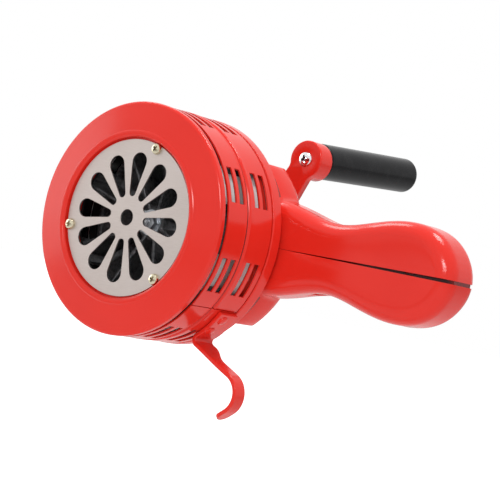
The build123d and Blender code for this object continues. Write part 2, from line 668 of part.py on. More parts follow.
def rotor():
    """The impeller: hub, rear disc, swept vanes and a ported rim that runs inside the stator."""
    rim_bore = ROTOR_R - ROTOR_RIM
    body = tube(ROTOR_R, rim_bore, ROTOR_START, ROTOR_END)
    for i in range(PORTS):
        port = sector(PORT_ANGLE, PORT_START, STATOR_END - STATOR_END_RING, DRUM_R)
        body -= round_about(PORT_TURN + i * 360 / PORTS, port)
    body += tube(ROTOR_R, rim_bore, ROTOR_START, ROTOR_START + ROTOR_RIM)
    body += rod(rim_bore, ROTOR_END - ROTOR_DISC, ROTOR_END)
    vane_depth = ROTOR_END - ROTOR_START - ROTOR_DISC / 2
    reach = rim_bore + ROTOR_RIM / 2
    vane = Box(VANE_THICK, vane_depth, reach, align=(Align.CENTER, Align.MIN, Align.MIN))
    vane = Pos(0, ROTOR_START, 0) * vane & rod(reach, ROTOR_START, ROTOR_END)
    for i in range(VANES):
        body += round_about(PORT_TURN + (i + 0.5) * 360 / VANES, vane)
    hub_end = BEARING_FRONT_AT - END_FLOAT
    eye = turned(
        (0, ROTOR_START),
        (rim_bore - ROTOR_RIM, ROTOR_START),
        (ROTOR_HUB_R, ROTOR_HUB_START),
        (0, ROTOR_HUB_START),
    )
    body -= eye
    body += rod(ROTOR_HUB_R, ROTOR_HUB_START, hub_end)
    return body - rod(ROTOR_SHAFT_R + FIT_GAP, 0, hub_end)


def rotor_washer():
    """The plain washer under the rotor's nut."""
    return tube(WASHER_R, PINION_SEAT_R + FIT_GAP, ROTOR_HUB_START - WASHER_THICK, ROTOR_HUB_START)


def rotor_nut():
    """The nut that holds the rotor on its shaft, seen through the grille's eye."""
    start = ROTOR_HUB_START - WASHER_THICK - NUT_THICK
    return hexagon_nut(NUT_ACROSS_FLATS, NUT_THICK, PINION_SEAT_R + FIT_GAP, start)


def layshaft():
    """The plain shaft beside the drum's axis that carries the two middle gears."""
    return rod(LAYSHAFT_R, BUSH_FRONT_AT + END_FLOAT, CASE_BACK_WALL - END_FLOAT, x=-CENTRE_DISTANCE)


def layshaft_bush(start):
    """A plain bronze bush for the layshaft."""
    return tube(LAYSHAFT_R + BUSH_WALL, LAYSHAFT_R + RUN_GAP, start, start + BUSH_LENGTH, x=-CENTRE_DISTANCE)


def crank_shaft():
    """The crank's shaft, coaxial with the rotor, shouldered and threaded for the arm."""
    thread_end = ARM_AT + ARM_BOSS_LENGTH + CRANK_WASHER_THICK + CRANK_NUT_THICK + THREAD_SPARE
    return rod(CRANK_SHAFT_R, SECOND_STAGE_AT, ARM_AT) + rod(CRANK_THREAD_R, ARM_AT, thread_end)


def crank_bush():
    """The long bronze bush in the spigot of the gear case."""
    return tube(CRANK_SHAFT_R + CRANK_BUSH_WALL, CRANK_SHAFT_R + RUN_GAP, CRANK_BUSH_AT, CRANK_BUSH_END)


# --- gear case and grip ---
def case_screw_bores(radius, start, end):
    """The holes for the four screws that hold the gear case on the back plate."""
    bore = rod(radius, start, end, z=CASE_SCREW_AT)
    return [round_about(turn, bore) for turn in CASE_SCREW_TURNS]


def case_screws():
    """Four long pan heads from behind, through the gear case into the back plate."""
    seat_depth = CASE_END - CASE_SCREW_HEAD
    length = seat_depth - RING_END + CASE_SCREW_BITE
    screw = pan_screw(CASE_SCREW_R, length, CASE_SCREW_HEAD_R, CASE_SCREW_HEAD)
    seat = depth_plane(seat_depth, z=CASE_SCREW_AT)
    return [round_about(turn, seat * screw) for turn in CASE_SCREW_TURNS]


def case_outside():
    """The gear case with its rounded back edge and the tapered spigot of the crank's bearing."""
    profile = Polygon(
        (0, RING_END),
        (CASE_R, RING_END),
        (CASE_R, CASE_END),
        (SPIGOT_R, CASE_END),
        (SPIGOT_END_R, SPIGOT_END),
        (0, SPIGOT_END),
    )
    back_edge = profile.vertices().sort_by_distance((CASE_R, CASE_END))[0]
    profile = fillet(back_edge, CASE_ROUNDING)
    root = profile.vertices().sort_by_distance((SPIGOT_R, CASE_END))[0]
    profile = fillet(root, SPIGOT_FILLET)
    return revolve(profile, Axis.Y)


def case_inside():
    """The space for the gears, less the bosses for the screws and the bearings."""
    space = rod(CASE_R - CASE_WALL, RING_END, CASE_BACK_WALL)
    for boss in case_screw_bores(CASE_SCREW_BOSS_R, RING_END, CASE_BACK_WALL):
        space -= boss
    space -= rod(LAYSHAFT_R + 2 * BUSH_WALL, BUSH_REAR_AT, CASE_BACK_WALL, x=-CENTRE_DISTANCE)
    return space - rod(CRANK_SHAFT_R + 2 * CRANK_BUSH_WALL, CRANK_BUSH_AT, CASE_BACK_WALL)


def grip_outline(inset):
    """The grip from the front: shoulder, neck, bulb and rounded end, all drawn in by the inset."""
    halves = (
        (GRIP_ROOT_AT, GRIP_ROOT_HALF),
        (GRIP_SHOULDER_AT, GRIP_SHOULDER_HALF),
        (GRIP_END - GRIP_NECK_IN, GRIP_NECK_HALF),
        (GRIP_END - GRIP_SWELL_IN, GRIP_SWELL_HALF),
        (GRIP_END - GRIP_BULB_IN, GRIP_BULB_HALF),
        (GRIP_END - GRIP_TURN_IN - inset, GRIP_TURN_HALF),
    )
    upper = [(x, half - inset) for x, half in halves]
    lower = [(x, -z) for x, z in reversed(upper)]
    side = Spline(*upper, (GRIP_END - inset, 0), *lower)
    return make_face([side, Line(side @ 1, side @ 0)])


def grip_solid(inset, rounding):
    """The grip's outside, or its hollow when inset by the wall."""
    solid = prism(grip_outline(inset), GRIP_FRONT + inset, GRIP_BACK - inset)
    edges = solid.edges().group_by(Axis.Y)
    long_edges = [e for e in edges[0] + edges[-1] if e.geom_type != GeomType.LINE]
    return fillet(long_edges, rounding)


def grip_pillars(radius, start, end):
    """Upright bars at the grip's screws, between two heights."""
    bar = Cylinder(radius, end - start, align=(Align.CENTER, Align.CENTER, Align.MIN))
    return [Pos(GRIP_END - inward, GRIP_MID, start) * bar for inward in GRIP_SCREW_INS]


def housing_halves():
    """The gear case and grip, parted on the plane of the drum's axis: the upper and the lower half."""
    outside = grip_solid(0, GRIP_ROUNDING)
    hollow = grip_solid(GRIP_WALL, GRIP_INNER_ROUNDING)
    hollow &= Pos(GRIP_CAVITY_START, 0, 0) * Box(
        GRIP_END, 2 * CASE_END, GRIP_END, align=(Align.MIN, Align.CENTER, Align.CENTER)
    )
    seam_end = GRIP_END + GRIP_WALL
    gap = Polygon((SEAM_START, 0), (seam_end, -SEAM_OPEN / 2), (seam_end, SEAM_OPEN / 2))
    gap = prism(gap, GRIP_FRONT - GRIP_WALL, GRIP_BACK + GRIP_WALL)
    pillars = grip_pillars(GRIP_PILLAR_R, -GRIP_END, GRIP_END)
    body = case_outside() + outside - case_inside() - (hollow - pillars) - (gap - pillars)
    body -= rod(CRANK_SHAFT_R + CRANK_BUSH_WALL + FIT_GAP, CRANK_BUSH_AT, SPIGOT_END)
    body -= rod(LAYSHAFT_R + BUSH_WALL + FIT_GAP, BUSH_REAR_AT, CASE_BACK_WALL, x=-CENTRE_DISTANCE)
    body -= case_screw_bores(CASE_SCREW_R + FIT_GAP, RING_END, CASE_END)
    body -= case_screw_bores(CASE_SCREW_HEAD_R + FIT_GAP, CASE_END - CASE_SCREW_HEAD, CASE_END + THREAD_SPARE)
    body -= grip_pillars(GRIP_SCREW_R + FIT_GAP, -GRIP_SCREW_SINK - THREAD_SPARE, GRIP_SCREW_BITE)
    body -= grip_pillars(GRIP_SCREW_HEAD_R + FIT_GAP, -GRIP_END, -GRIP_SCREW_SINK)
    above = Box(4 * GRIP_END, 4 * CASE_END, GRIP_END, align=(Align.CENTER, Align.CENTER, Align.MIN))
    return body & above, body - above


def grip_screws():
    """Two long pan heads that pull the grip's halves together from below."""
    screw = pan_screw(GRIP_SCREW_R, GRIP_SCREW_SINK + GRIP_SCREW_BITE, GRIP_SCREW_HEAD_R, GRIP_SCREW_HEAD)
    seats = [Pos(GRIP_END - inward, GRIP_MID, -GRIP_SCREW_SINK) for inward in GRIP_SCREW_INS]
    return [seat * Rot(180, 0, 0) * screw for seat in seats]


# --- crank and handle ---
def leaning_plane(along):
    """Square to the handle's leaning axis, a distance along it from the front of the crank's boss."""
    lean = radians(HANDLE_LEAN_ANGLE)
    origin = (0, ARM_AT + along * cos(lean), CRANK_RADIUS + along * sin(lean))
    return Plane(origin=origin, x_dir=(1, 0, 0), z_dir=(0, cos(lean), sin(lean)))


def leaning_rod(radius, start, end):
    """A round bar along the handle's axis, with the crank standing at the top."""
    bar = Cylinder(radius, end - start, align=(Align.CENTER, Align.CENTER, Align.MIN))
    return leaning_plane(start) * bar


def crank_arm():
    """The cast arm: hub and boss at its ends, a flared flat bar between, all flush at the front."""
    bar_half = ARM_HALF_WIDTH + ARM_FLARE
    bar = Polygon(
        (-bar_half, 0),
        (bar_half, 0),
        (ARM_HALF_WIDTH, CRANK_RADIUS),
        (-ARM_HALF_WIDTH, CRANK_RADIUS),
    )
    outline = bar + Circle(ARM_HUB_R) + Pos(0, CRANK_RADIUS) * Circle(ARM_BOSS_R)
    corners = [v for v in outline.vertices() if CRANK_RADIUS / 2 < v.Y < CRANK_RADIUS and abs(v.X) > 1]
    outline = fillet(corners, ARM_BOSS_R / 2)
    arm = prism(outline, ARM_AT, ARM_AT + ARM_THICK)
    arm = fillet(arm.edges().group_by(Axis.Y)[0], ARM_EDGE_R)
    arm += rod(ARM_HUB_R, ARM_AT + ARM_THICK / 2, ARM_AT + ARM_BOSS_LENGTH)
    boss = rod(ARM_BOSS_R, ARM_AT + ARM_THICK / 2, ARM_AT + 2 * ARM_BOSS_LENGTH, z=CRANK_RADIUS)
    arm += boss - leaning_rod(2 * ARM_BOSS_R, ARM_BOSS_LENGTH, 3 * ARM_BOSS_LENGTH)
    arm -= rod(CRANK_THREAD_R + FIT_GAP, ARM_AT, ARM_AT + ARM_BOSS_LENGTH)
    arm -= leaning_rod(HANDLE_SCREW_R + FIT_GAP, -ARM_THICK, 2 * ARM_BOSS_LENGTH)
    arm -= leaning_rod(HANDLE_SCREW_HEAD_R + FIT_GAP, -ARM_THICK, HANDLE_SCREW_SINK)
    return round_about(CRANK_TURN, arm)


def handle_screw():
    """The cross-headed screw, sunk a little in the boss, that holds the handle's spindle."""
    length = ARM_BOSS_LENGTH - HANDLE_SCREW_SINK + HANDLE_SCREW_BITE
    screw = pan_screw(HANDLE_SCREW_R, length, HANDLE_SCREW_HEAD_R, HANDLE_SCREW_HEAD)
    return round_about(CRANK_TURN, leaning_plane(HANDLE_SCREW_SINK) * Rot(180, 0, 0) * screw)


def handle_spindle():
    """The pin that the handle turns on, with a ring near its end that the handle snaps over."""
    end = HANDLE_START + HANDLE_LENGTH - HANDLE_PLUG - END_FLOAT
    pin = leaning_rod(SPINDLE_R, ARM_BOSS_LENGTH, end)
    pin += leaning_rod(SPINDLE_R + SNAP_RING, end - SNAP_BACK, end - SNAP_BACK + SNAP_WIDTH)
    thread = HANDLE_SCREW_R + FIT_GAP
    pin -= leaning_rod(thread, ARM_BOSS_LENGTH, ARM_BOSS_LENGTH + HANDLE_SCREW_BITE)
    return round_about(CRANK_TURN, pin)


def crank_handle():
    """The moulded handle, rounded at both ends and closed at the back, free on its spindle."""
    end = HANDLE_START + HANDLE_LENGTH
    body = Cylinder(HANDLE_R, HANDLE_LENGTH, align=(Align.CENTER, Align.CENTER, Align.MIN))
    rims = body.edges().filter_by(GeomType.CIRCLE).sort_by(Axis.Z)
    body = fillet(rims[-1], HANDLE_EDGE_R)
    body = fillet(body.edges().filter_by(GeomType.CIRCLE).sort_by(Axis.Z)[0], HANDLE_EDGE_R / 2)
    handle = leaning_plane(HANDLE_START) * body
    handle -= leaning_rod(SPINDLE_R + HANDLE_RUN_GAP, HANDLE_START, end - HANDLE_PLUG)
    ring_at = end - HANDLE_PLUG - END_FLOAT - SNAP_BACK
    ring_r = SPINDLE_R + SNAP_RING + HANDLE_RUN_GAP
    handle -= leaning_rod(ring_r, ring_at - END_FLOAT, ring_at + SNAP_WIDTH + END_FLOAT)
    return round_about(CRANK_TURN, handle)


def thrust_washer():
    """The washer between the spigot and the crank's arm."""
    start = SPIGOT_END + END_FLOAT
    return tube(CRANK_WASHER_R, CRANK_SHAFT_R + FIT_GAP, start, ARM_AT)


def crank_washer():
    """The washer under the crank's nut."""
    start = ARM_AT + ARM_BOSS_LENGTH
    return tube(CRANK_WASHER_R, CRANK_THREAD_R + FIT_GAP, start, start + CRANK_WASHER_THICK)


def crank_nut():
    """The nut that clamps the arm against the shaft's shoulder."""
    start = ARM_AT + ARM_BOSS_LENGTH + CRANK_WASHER_THICK
    return hexagon_nut(CRANK_NUT_ACROSS_FLATS, CRANK_NUT_THICK, CRANK_THREAD_R + FIT_GAP, start)


# --- write every piece ---
housing_upper, housing_lower = housing_halves()
half_tooth = 180 / WHEEL_TEETH
pieces = {
    "front_cap": front_cap(),
    "grille_plate": grille_plate(),
    "grille_screws": grille_screws(),
    "stator_drum": stator_drum(),
    "stator_screws": stator_screws(),
    "back_plate": back_plate(),
    "shutter_stop_pins": stop_pins(),
    "spring_post": spring_post(),
    "return_spring": return_spring(),
    "rotor_bearing_front": ball_bearing(BEARING_FRONT_AT),
    "rotor_bearing_rear": ball_bearing(BEARING_REAR_AT),
    "layshaft_bush_front": layshaft_bush(BUSH_FRONT_AT),
    "layshaft_bush_rear": layshaft_bush(BUSH_REAR_AT),
    "crank_bush": crank_bush(),
    "housing_upper": housing_upper,
    "housing_lower": housing_lower,
    "case_screws": case_screws(),
    "grip_screws": grip_screws(),
    "shutter_sleeve": shutter_sleeve(),
    "trigger_hook": trigger_hook(),
    "hook_rivets": hook_rivets(),
    "rotor": rotor(),
    "rotor_shaft": rotor_shaft(),
    "rotor_washer": rotor_washer(),
    "rotor_nut": rotor_nut(),
    "rotor_pinion": pinion(FIRST_STAGE_AT, PINION_SEAT_R, 0),
    "layshaft": layshaft(),
    "layshaft_gear": wheel(FIRST_STAGE_AT + wheel_offset(), LAYSHAFT_R, -CENTRE_DISTANCE, half_tooth),
    "layshaft_pinion": pinion(SECOND_STAGE_AT, LAYSHAFT_R, -CENTRE_DISTANCE),
    "crank_gear": wheel(SECOND_STAGE_AT + wheel_offset(), CRANK_SHAFT_R, 0, half_tooth),
    "crank_shaft": crank_shaft(),
    "crank_thrust_washer": thrust_washer(),
    "crank_arm": crank_arm(),
    "crank_washer": crank_washer(),
    "crank_nut": crank_nut(),
    "handle_screw": handle_screw(),
    "handle_spindle": handle_spindle(),
    "crank_handle": crank_handle(),
}
os.makedirs("parts", exist_ok=True)
for node, shape in pieces.items():
    solids = shape if isinstance(shape, list) else [shape]
    export_step(Compound(children=solids) if len(solids) > 1 else solids[0], f"parts/{node}.step")
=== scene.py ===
import json
import math

import bmesh
import bpy
from mathutils import Matrix, Vector

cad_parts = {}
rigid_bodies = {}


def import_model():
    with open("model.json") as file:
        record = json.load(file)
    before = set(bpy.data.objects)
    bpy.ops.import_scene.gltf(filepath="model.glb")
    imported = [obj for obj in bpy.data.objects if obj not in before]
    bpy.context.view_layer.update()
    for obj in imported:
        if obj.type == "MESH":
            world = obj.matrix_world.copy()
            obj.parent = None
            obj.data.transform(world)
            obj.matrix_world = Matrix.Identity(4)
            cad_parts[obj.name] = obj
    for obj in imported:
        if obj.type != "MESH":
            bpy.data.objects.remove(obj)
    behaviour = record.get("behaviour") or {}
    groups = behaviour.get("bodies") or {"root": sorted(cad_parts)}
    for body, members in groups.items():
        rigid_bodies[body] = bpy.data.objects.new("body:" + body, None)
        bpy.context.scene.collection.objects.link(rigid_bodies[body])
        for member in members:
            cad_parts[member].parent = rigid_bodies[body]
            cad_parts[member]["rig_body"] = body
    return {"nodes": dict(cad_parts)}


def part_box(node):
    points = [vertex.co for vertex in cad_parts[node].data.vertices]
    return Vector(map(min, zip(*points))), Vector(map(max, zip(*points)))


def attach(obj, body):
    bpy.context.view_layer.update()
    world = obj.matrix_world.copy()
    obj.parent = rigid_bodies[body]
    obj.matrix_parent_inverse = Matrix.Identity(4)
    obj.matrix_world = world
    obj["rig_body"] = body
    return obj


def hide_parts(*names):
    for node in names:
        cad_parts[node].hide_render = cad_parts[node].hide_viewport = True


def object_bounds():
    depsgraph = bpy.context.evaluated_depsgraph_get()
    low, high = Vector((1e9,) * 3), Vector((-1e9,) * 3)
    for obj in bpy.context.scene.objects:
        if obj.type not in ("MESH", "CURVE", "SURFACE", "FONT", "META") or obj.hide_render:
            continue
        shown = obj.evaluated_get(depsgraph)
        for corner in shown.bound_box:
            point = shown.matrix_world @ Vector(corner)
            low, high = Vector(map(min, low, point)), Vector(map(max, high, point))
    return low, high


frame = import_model()
cad_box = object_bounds()
cad = frame["nodes"]
mm = 0.001

# --- The photographer's stand ---
# A plain pale sweep with the siren held clear of it, and a long lens from the front and right.
# The camera's place, turn and lens were fitted to the drum's circle and to the grip's straight seam.
scene = bpy.context.scene
scene.view_settings.view_transform = "Standard"

camera_data = bpy.data.cameras.new("camera")
camera_data.sensor_width = 36
camera_data.lens = 127.66
camera = bpy.data.objects.new("camera", camera_data)
scene.collection.objects.link(camera)
camera_right = Vector((0.77531, 0.59883, 0.20075))
camera_up = Vector((-0.15328, -0.12995, 0.97960))
camera_back = Vector((0.61270, -0.79027, -0.00896))
camera_turn = Matrix((camera_right, camera_up, camera_back)).transposed().to_4x4()
camera.matrix_world = Matrix.Translation(Vector((550.39, -611.44, -10.73)) * mm) @ camera_turn
scene.camera = camera


def white_where_seen(nodes, links, lit):
    """White to the camera, in reflections and through glass, and the lit shader to everything else."""
    path = nodes.new("ShaderNodeLightPath")
    seen = nodes.new("ShaderNodeMath")
    seen.operation = "MAXIMUM"
    mirrored = nodes.new("ShaderNodeMath")
    mirrored.operation = "MAXIMUM"
    links.new(path.outputs["Is Camera Ray"], seen.inputs[0])
    links.new(path.outputs["Is Glossy Ray"], seen.inputs[1])
    links.new(seen.outputs[0], mirrored.inputs[0])
    links.new(path.outputs["Is Transmission Ray"], mirrored.inputs[1])
    white = nodes.new("ShaderNodeBackground")
    white.inputs["Color"].default_value = (1, 1, 1, 1)
    mix = nodes.new("ShaderNodeMixShader")
    links.new(mirrored.outputs[0], mix.inputs[0])
    links.new(lit.outputs[0], mix.inputs[1])
    links.new(white.outputs[0], mix.inputs[2])
    return mix


world = bpy.data.worlds.new("studio")
scene.world = world
world.use_nodes = True
ambient = world.node_tree.nodes["Background"]
ambient.inputs["Color"].default_value = (1, 1, 1, 1)
ambient.inputs["Strength"].default_value = 0.5
surround = white_where_seen(world.node_tree.nodes, world.node_tree.links, ambient)
world.node_tree.links.new(surround.outputs[0], world.node_tree.nodes["World Output"].inputs["Surface"])

floor_drop = 0.10
floor_size = 12.0
floor_mesh = bmesh.new()
bmesh.ops.create_grid(floor_mesh, x_segments=1, y_segments=1, size=floor_size / 2)
bmesh.ops.translate(floor_mesh, verts=floor_mesh.verts, vec=(0, 0, cad_box[0].z - floor_drop))
floor = bpy.data.objects.new("floor", bpy.data.meshes.new("floor"))
floor_mesh.to_mesh(floor.data)
floor_mesh.free()
scene.collection.objects.link(floor)

floor_paper = bpy.data.materials.new("floor_paper")
floor_paper.use_nodes = True
floor.data.materials.append(floor_paper)
paper_shader = floor_paper.node_tree.nodes["Principled BSDF"]
paper_shader.inputs["Base Color"].default_value = (0.9, 0.9, 0.9, 1)
paper_shader.inputs["Roughness"].default_value = 0.9
paper_shader.inputs["Specular IOR Level"].default_value = 0.1
paper_nodes = floor_paper.node_tree.nodes
paper_links = floor_paper.node_tree.links
paper_lift = paper_nodes.new("ShaderNodeLightPath")
paper_glow = paper_nodes.new("ShaderNodeMath")
paper_glow.operation = "MULTIPLY"
paper_glow.inputs[1].default_value = 0.8
paper_links.new(paper_lift.outputs["Is Camera Ray"], paper_glow.inputs[0])
paper_links.new(paper_glow.outputs[0], paper_shader.inputs["Emission Strength"])
paper_shader.inputs["Emission Color"].default_value = (1, 1, 1, 1)


def soft_light(name, place, target, width, height, power):
    """A rectangular softbox that faces a point on the siren."""
    data = bpy.data.lights.new(name, "AREA")
    data.shape = "RECTANGLE"
    data.size = width
    data.size_y = height
    data.energy = power
    lamp = bpy.data.objects.new(name, data)
    scene.collection.objects.link(lamp)
    lamp.location = place
    lamp.rotation_euler = (Vector(target) - Vector(place)).to_track_quat("-Z", "Y").to_euler()
    return lamp


middle = (cad_box[0] + cad_box[1]) / 2
soft_light("overhead_softbox", (0.2, 0.15, 1.0), middle, 0.45, 0.3, 5.5)
soft_light("upper_left_softbox", (-0.52, 0.15, 0.8), middle, 0.3, 0.3, 1.6)
soft_light("left_softbox", (-1.29, -0.47, 0.0), middle, 0.8, 1.0, 4.0)
soft_light("front_softbox", (0.75, -1.25, 0.7), middle, 0.35, 0.35, 8.0)

# --- The front cap ---
# A die-cast ring with a faintly coned face, a raised bead round its window and a turned-in rim, sprayed
# in glossy red. The grille sits in its window, and three screws go through its ledge into the stator.
TURN_STEPS = 180


def turned(corners, steps=TURN_STEPS):
    """A closed profile of (radius, depth) corners spun about the drum's axis."""
    bm = bmesh.new()
    verts = [bm.verts.new((radius, depth, 0)) for radius, depth in corners]
    edges = [bm.edges.new(pair) for pair in zip(verts, verts[1:] + verts[:1])]
    bmesh.ops.spin(
        bm, geom=verts + edges, cent=(0, 0, 0), axis=(0, 1, 0), angle=math.tau, steps=steps, use_merge=True
    )
    bmesh.ops.remove_doubles(bm, verts=bm.verts, dist=1e-6)
    bmesh.ops.recalc_face_normals(bm, faces=bm.faces)
    return bm


def rounded(bm, edges, width, segments, clamped=False):
    """Rounds edges in even steps, held back where they would meet if it is clamped."""
    bmesh.ops.bevel(
        bm,
        geom=edges,
        offset=width,
        segments=segments,
        profile=0.5,
        affect="EDGES",
        material=-1,
        clamp_overlap=clamped,
    )


def round_ring(bm, radius, depth, width, segments):
    """Rounds the circular edge at one corner of a turned profile."""
    near = 1e-5

    def at_corner(vert):
        return abs(math.hypot(vert.co.x, vert.co.z) - radius) < near and abs(vert.co.y - depth) < near

    rounded(bm, [e for e in bm.edges if all(at_corner(v) for v in e.verts)], width, segments)


def shaded(mesh, angle):
    """Smooth faces, with a crisp edge only where the surface turns by more than the angle."""
    mesh.shade_smooth()
    mesh.set_sharp_from_angle(angle=math.radians(angle))


def placed(bm, name, body, material, nodes, angle=32):
    """Makes a mesh into a piece that stands for its nodes and moves with its body."""
    mesh = bpy.data.meshes.new(name)
    bm.to_mesh(mesh)
    bm.free()
    shaded(mesh, angle)
    mesh.materials.append(material)
    piece = bpy.data.objects.new(name, mesh)
    scene.collection.objects.link(piece)
    weighted = piece.modifiers.new("weighted normals", "WEIGHTED_NORMAL")
    weighted.keep_sharp = True
    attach(piece, body)
    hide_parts(*nodes)
    return piece


def painted_shade_near_axis(nodes, links, place, limit, colour):
    """Turns a colour nearly black nearer to the drum's axis than a limit: painted shade for the drum's dark
    inside.
    """
    split = nodes.new("ShaderNodeSeparateXYZ")
    links.new(place.outputs["Object"], split.inputs[0])
    flat = nodes.new("ShaderNodeCombineXYZ")
    links.new(split.outputs["X"], flat.inputs["X"])
    links.new(split.outputs["Z"], flat.inputs["Z"])
    length = nodes.new("ShaderNodeVectorMath")
    length.operation = "LENGTH"
    links.new(flat.outputs[0], length.inputs[0])
    beyond = nodes.new("ShaderNodeMath")
    beyond.operation = "SUBTRACT"
    links.new(length.outputs["Value"], beyond.inputs[0])
    links.new(limit, beyond.inputs[1])
    fade = nodes.new("ShaderNodeMapRange")
    fade.inputs["From Min"].default_value = 0
    fade.inputs["From Max"].default_value = 0.1 * mm
    fade.inputs["To Min"].default_value = 1
    fade.inputs["To Max"].default_value = 0
    links.new(beyond.outputs[0], fade.inputs["Value"])
    # The painted shade: a near-black colour mixed in inside the limit.
    shade = nodes.new("ShaderNodeMixRGB")
    shade.inputs["Color2"].default_value = (0.012, 0.011, 0.011, 1)
    links.new(fade.outputs["Result"], shade.inputs["Fac"])
    links.new(colour, shade.inputs["Color1"])
    return shade.outputs["Color"]


def finish_group(name, inputs):
    """A group for a finish, with its inputs, its three outputs and the place on the piece."""
    tree = bpy.data.node_groups.new(name, "ShaderNodeTree")
    for label, kind, value in inputs:
        socket = tree.interface.new_socket(name=label, in_out="INPUT", socket_type="NodeSocket" + kind)
        socket.default_value = value
    for label, kind in (("Color", "Color"), ("Roughness", "Float"), ("Normal", "Vector")):
        tree.interface.new_socket(name=label, in_out="OUTPUT", socket_type="NodeSocket" + kind)
    given = tree.nodes.new("NodeGroupInput")
    made = tree.nodes.new("NodeGroupOutput")
    place = tree.nodes.new("ShaderNodeTexCoord")
    return tree, given, made, place


def noise_at(tree, spot, detail, scale=1.0):
    """Noise over the piece, with a number of finer layers."""
    noise = tree.nodes.new("ShaderNodeTexNoise")
    noise.inputs["Scale"].default_value = scale
    noise.inputs["Detail"].default_value = detail
    tree.links.new(spot, noise.inputs["Vector"])
    return noise


def duller_by(tree, given, made, texture):
    """Adds a share of a texture to the given roughness, and returns the socket for that share."""
    duller = tree.nodes.new("ShaderNodeMath")
    duller.operation = "MULTIPLY_ADD"
    tree.links.new(texture, duller.inputs[0])
    tree.links.new(given.outputs["Roughness"], duller.inputs[2])
    tree.links.new(duller.outputs[0], made.inputs["Roughness"])
    return duller.inputs[1]


def raised(tree, made, texture, distance):
    """Raises the surface by a texture, and returns the socket for its strength."""
    bump = tree.nodes.new("ShaderNodeBump")
    bump.inputs["Distance"].default_value = distance
    tree.links.new(texture, bump.inputs["Height"])
    tree.links.new(bump.outputs["Normal"], made.inputs["Normal"])
    return bump.inputs["Strength"]


def skin_group():
    """Sprayed paint: a faint orange peel, a slow change of tone where the coat lies thicker, and painted
    shade, nearly black, nearer to the drum's axis than a given radius.
    """
    tree, given, made, place = finish_group(
        "sprayed skin",
        (
            ("Color", "Color", (1, 1, 1, 1)),
            ("Roughness", "Float", 0.2),
            ("Peel Size", "Float", 400.0),
            ("Peel Height", "Float", 0.1),
            ("Painted Shade Within", "Float", 0.0),
        ),
    )
    nodes, links = tree.nodes, tree.links
    peel = noise_at(tree, place.outputs["Object"], detail=1.5)
    links.new(given.outputs["Peel Size"], peel.inputs["Scale"])
    cloud = noise_at(tree, place.outputs["Object"], detail=3, scale=28)
    deeper = nodes.new("ShaderNodeMixRGB")
    deeper.blend_type = "MULTIPLY"
    deeper.inputs["Color2"].default_value = (0.88, 0.62, 0.62, 1)
    amount = nodes.new("ShaderNodeMapRange")
    amount.inputs["From Min"].default_value = 0.35
    amount.inputs["From Max"].default_value = 0.75
    amount.inputs["To Max"].default_value = 0.35
    links.new(cloud.outputs["Fac"], amount.inputs["Value"])
    links.new(amount.outputs["Result"], deeper.inputs["Fac"])
    links.new(given.outputs["Color"], deeper.inputs["Color1"])
    # Painted shade: the paint's colour turns nearly black nearer to the drum's axis than the given radius.
    outside = painted_shade_near_axis(nodes, links, place, given.outputs["Painted Shade Within"], deeper.outputs["Color"])
    links.new(outside, made.inputs["Color"])
    duller_by(tree, given, made, cloud.outputs["Fac"]).default_value = 0.08
    links.new(given.outputs["Peel Height"], raised(tree, made, peel.outputs["Fac"], 0.2 * mm))
    return tree


def finish_from(group, name, plain, varying):
    """A material whose shader takes the group's outputs, with the plain values on its own sockets."""
    material = bpy.data.materials.new(name)
    material.use_nodes = True
    nodes, links = material.node_tree.nodes, material.node_tree.links
    shader = nodes["Principled BSDF"]
    for socket, value in plain.items():
        shader.inputs[socket].default_value = value
    effect = nodes.new("ShaderNodeGroup")
    effect.node_tree = group
    for socket, value in varying.items():
        effect.inputs[socket].default_value = value
    for output, socket in (("Color", "Base Color"), ("Roughness", "Roughness"), ("Normal", "Normal")):
        links.new(effect.outputs[output], shader.inputs[socket])
    return material


sprayed_skin = skin_group()


def sprayed_red(name, paint_shade_within=0.0, colour=(0.78, 0.026, 0.015, 1)):
    """Glossy red, with painted shade, nearly black, nearer to the drum's axis than a given radius."""
    return finish_from(
        sprayed_skin,
        name,
        {"Metallic": 0.0, "Specular IOR Level": 0.30},
        {
            "Color": colour,
            "Roughness": 0.13,
            "Peel Size": 420.0,
            "Peel Height": 0.06,
            "Painted Shade Within": paint_shade_within,
        },
    )


red_paint = sprayed_red("red_paint")
# The sleeve's red has painted shade: within 53.97 mm of the axis, its inner side, it is nearly black, for the
# shade seen through the slots.
red_sleeve_shaded_inside = sprayed_red("red_paint_sleeve_shaded_inside", 53.97 * mm)

cap_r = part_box("front_cap")[1].x
cap_trim = 0.9 * mm
cap_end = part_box("front_cap")[1].y - cap_trim
cap_rim_wall = 2.5 * mm
cap_face = 3.6 * mm
crown_r, crown_drop = 54.0 * mm, 2.6 * mm
shoulder_drop, crown_wall = 3.5 * mm, 1.2 * mm
window_r = 37.9 * mm
bead_inner_r, bead_outer_r = 38.6 * mm, 41.0 * mm
bead_flank, bead_height = 0.6 * mm, 0.5 * mm
window_bevel = 1.0 * mm
grille_front, grille_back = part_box("grille_plate")[0].y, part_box("grille_plate")[1].y
ledge_r = 32.6 * mm
ledge_back = 5.5 * mm
rib_r = 41.0 * mm
front_cap = turned(
    [
        (ledge_r, grille_back),
        (window_r, grille_back),
        (window_r, window_bevel),
        (bead_inner_r, 0.3 * bead_height),
        (bead_inner_r + bead_flank, 0),
        (bead_outer_r - bead_flank, 0),
        (bead_outer_r, bead_height),
        (crown_r, crown_drop),
        (cap_r, shoulder_drop),
        (cap_r, cap_end),
        (cap_r - cap_rim_wall, cap_end),
        (cap_r - cap_rim_wall, shoulder_drop + crown_wall),
        (rib_r, cap_face),
        (rib_r, ledge_back),
        (ledge_r, ledge_back),
    ]
)
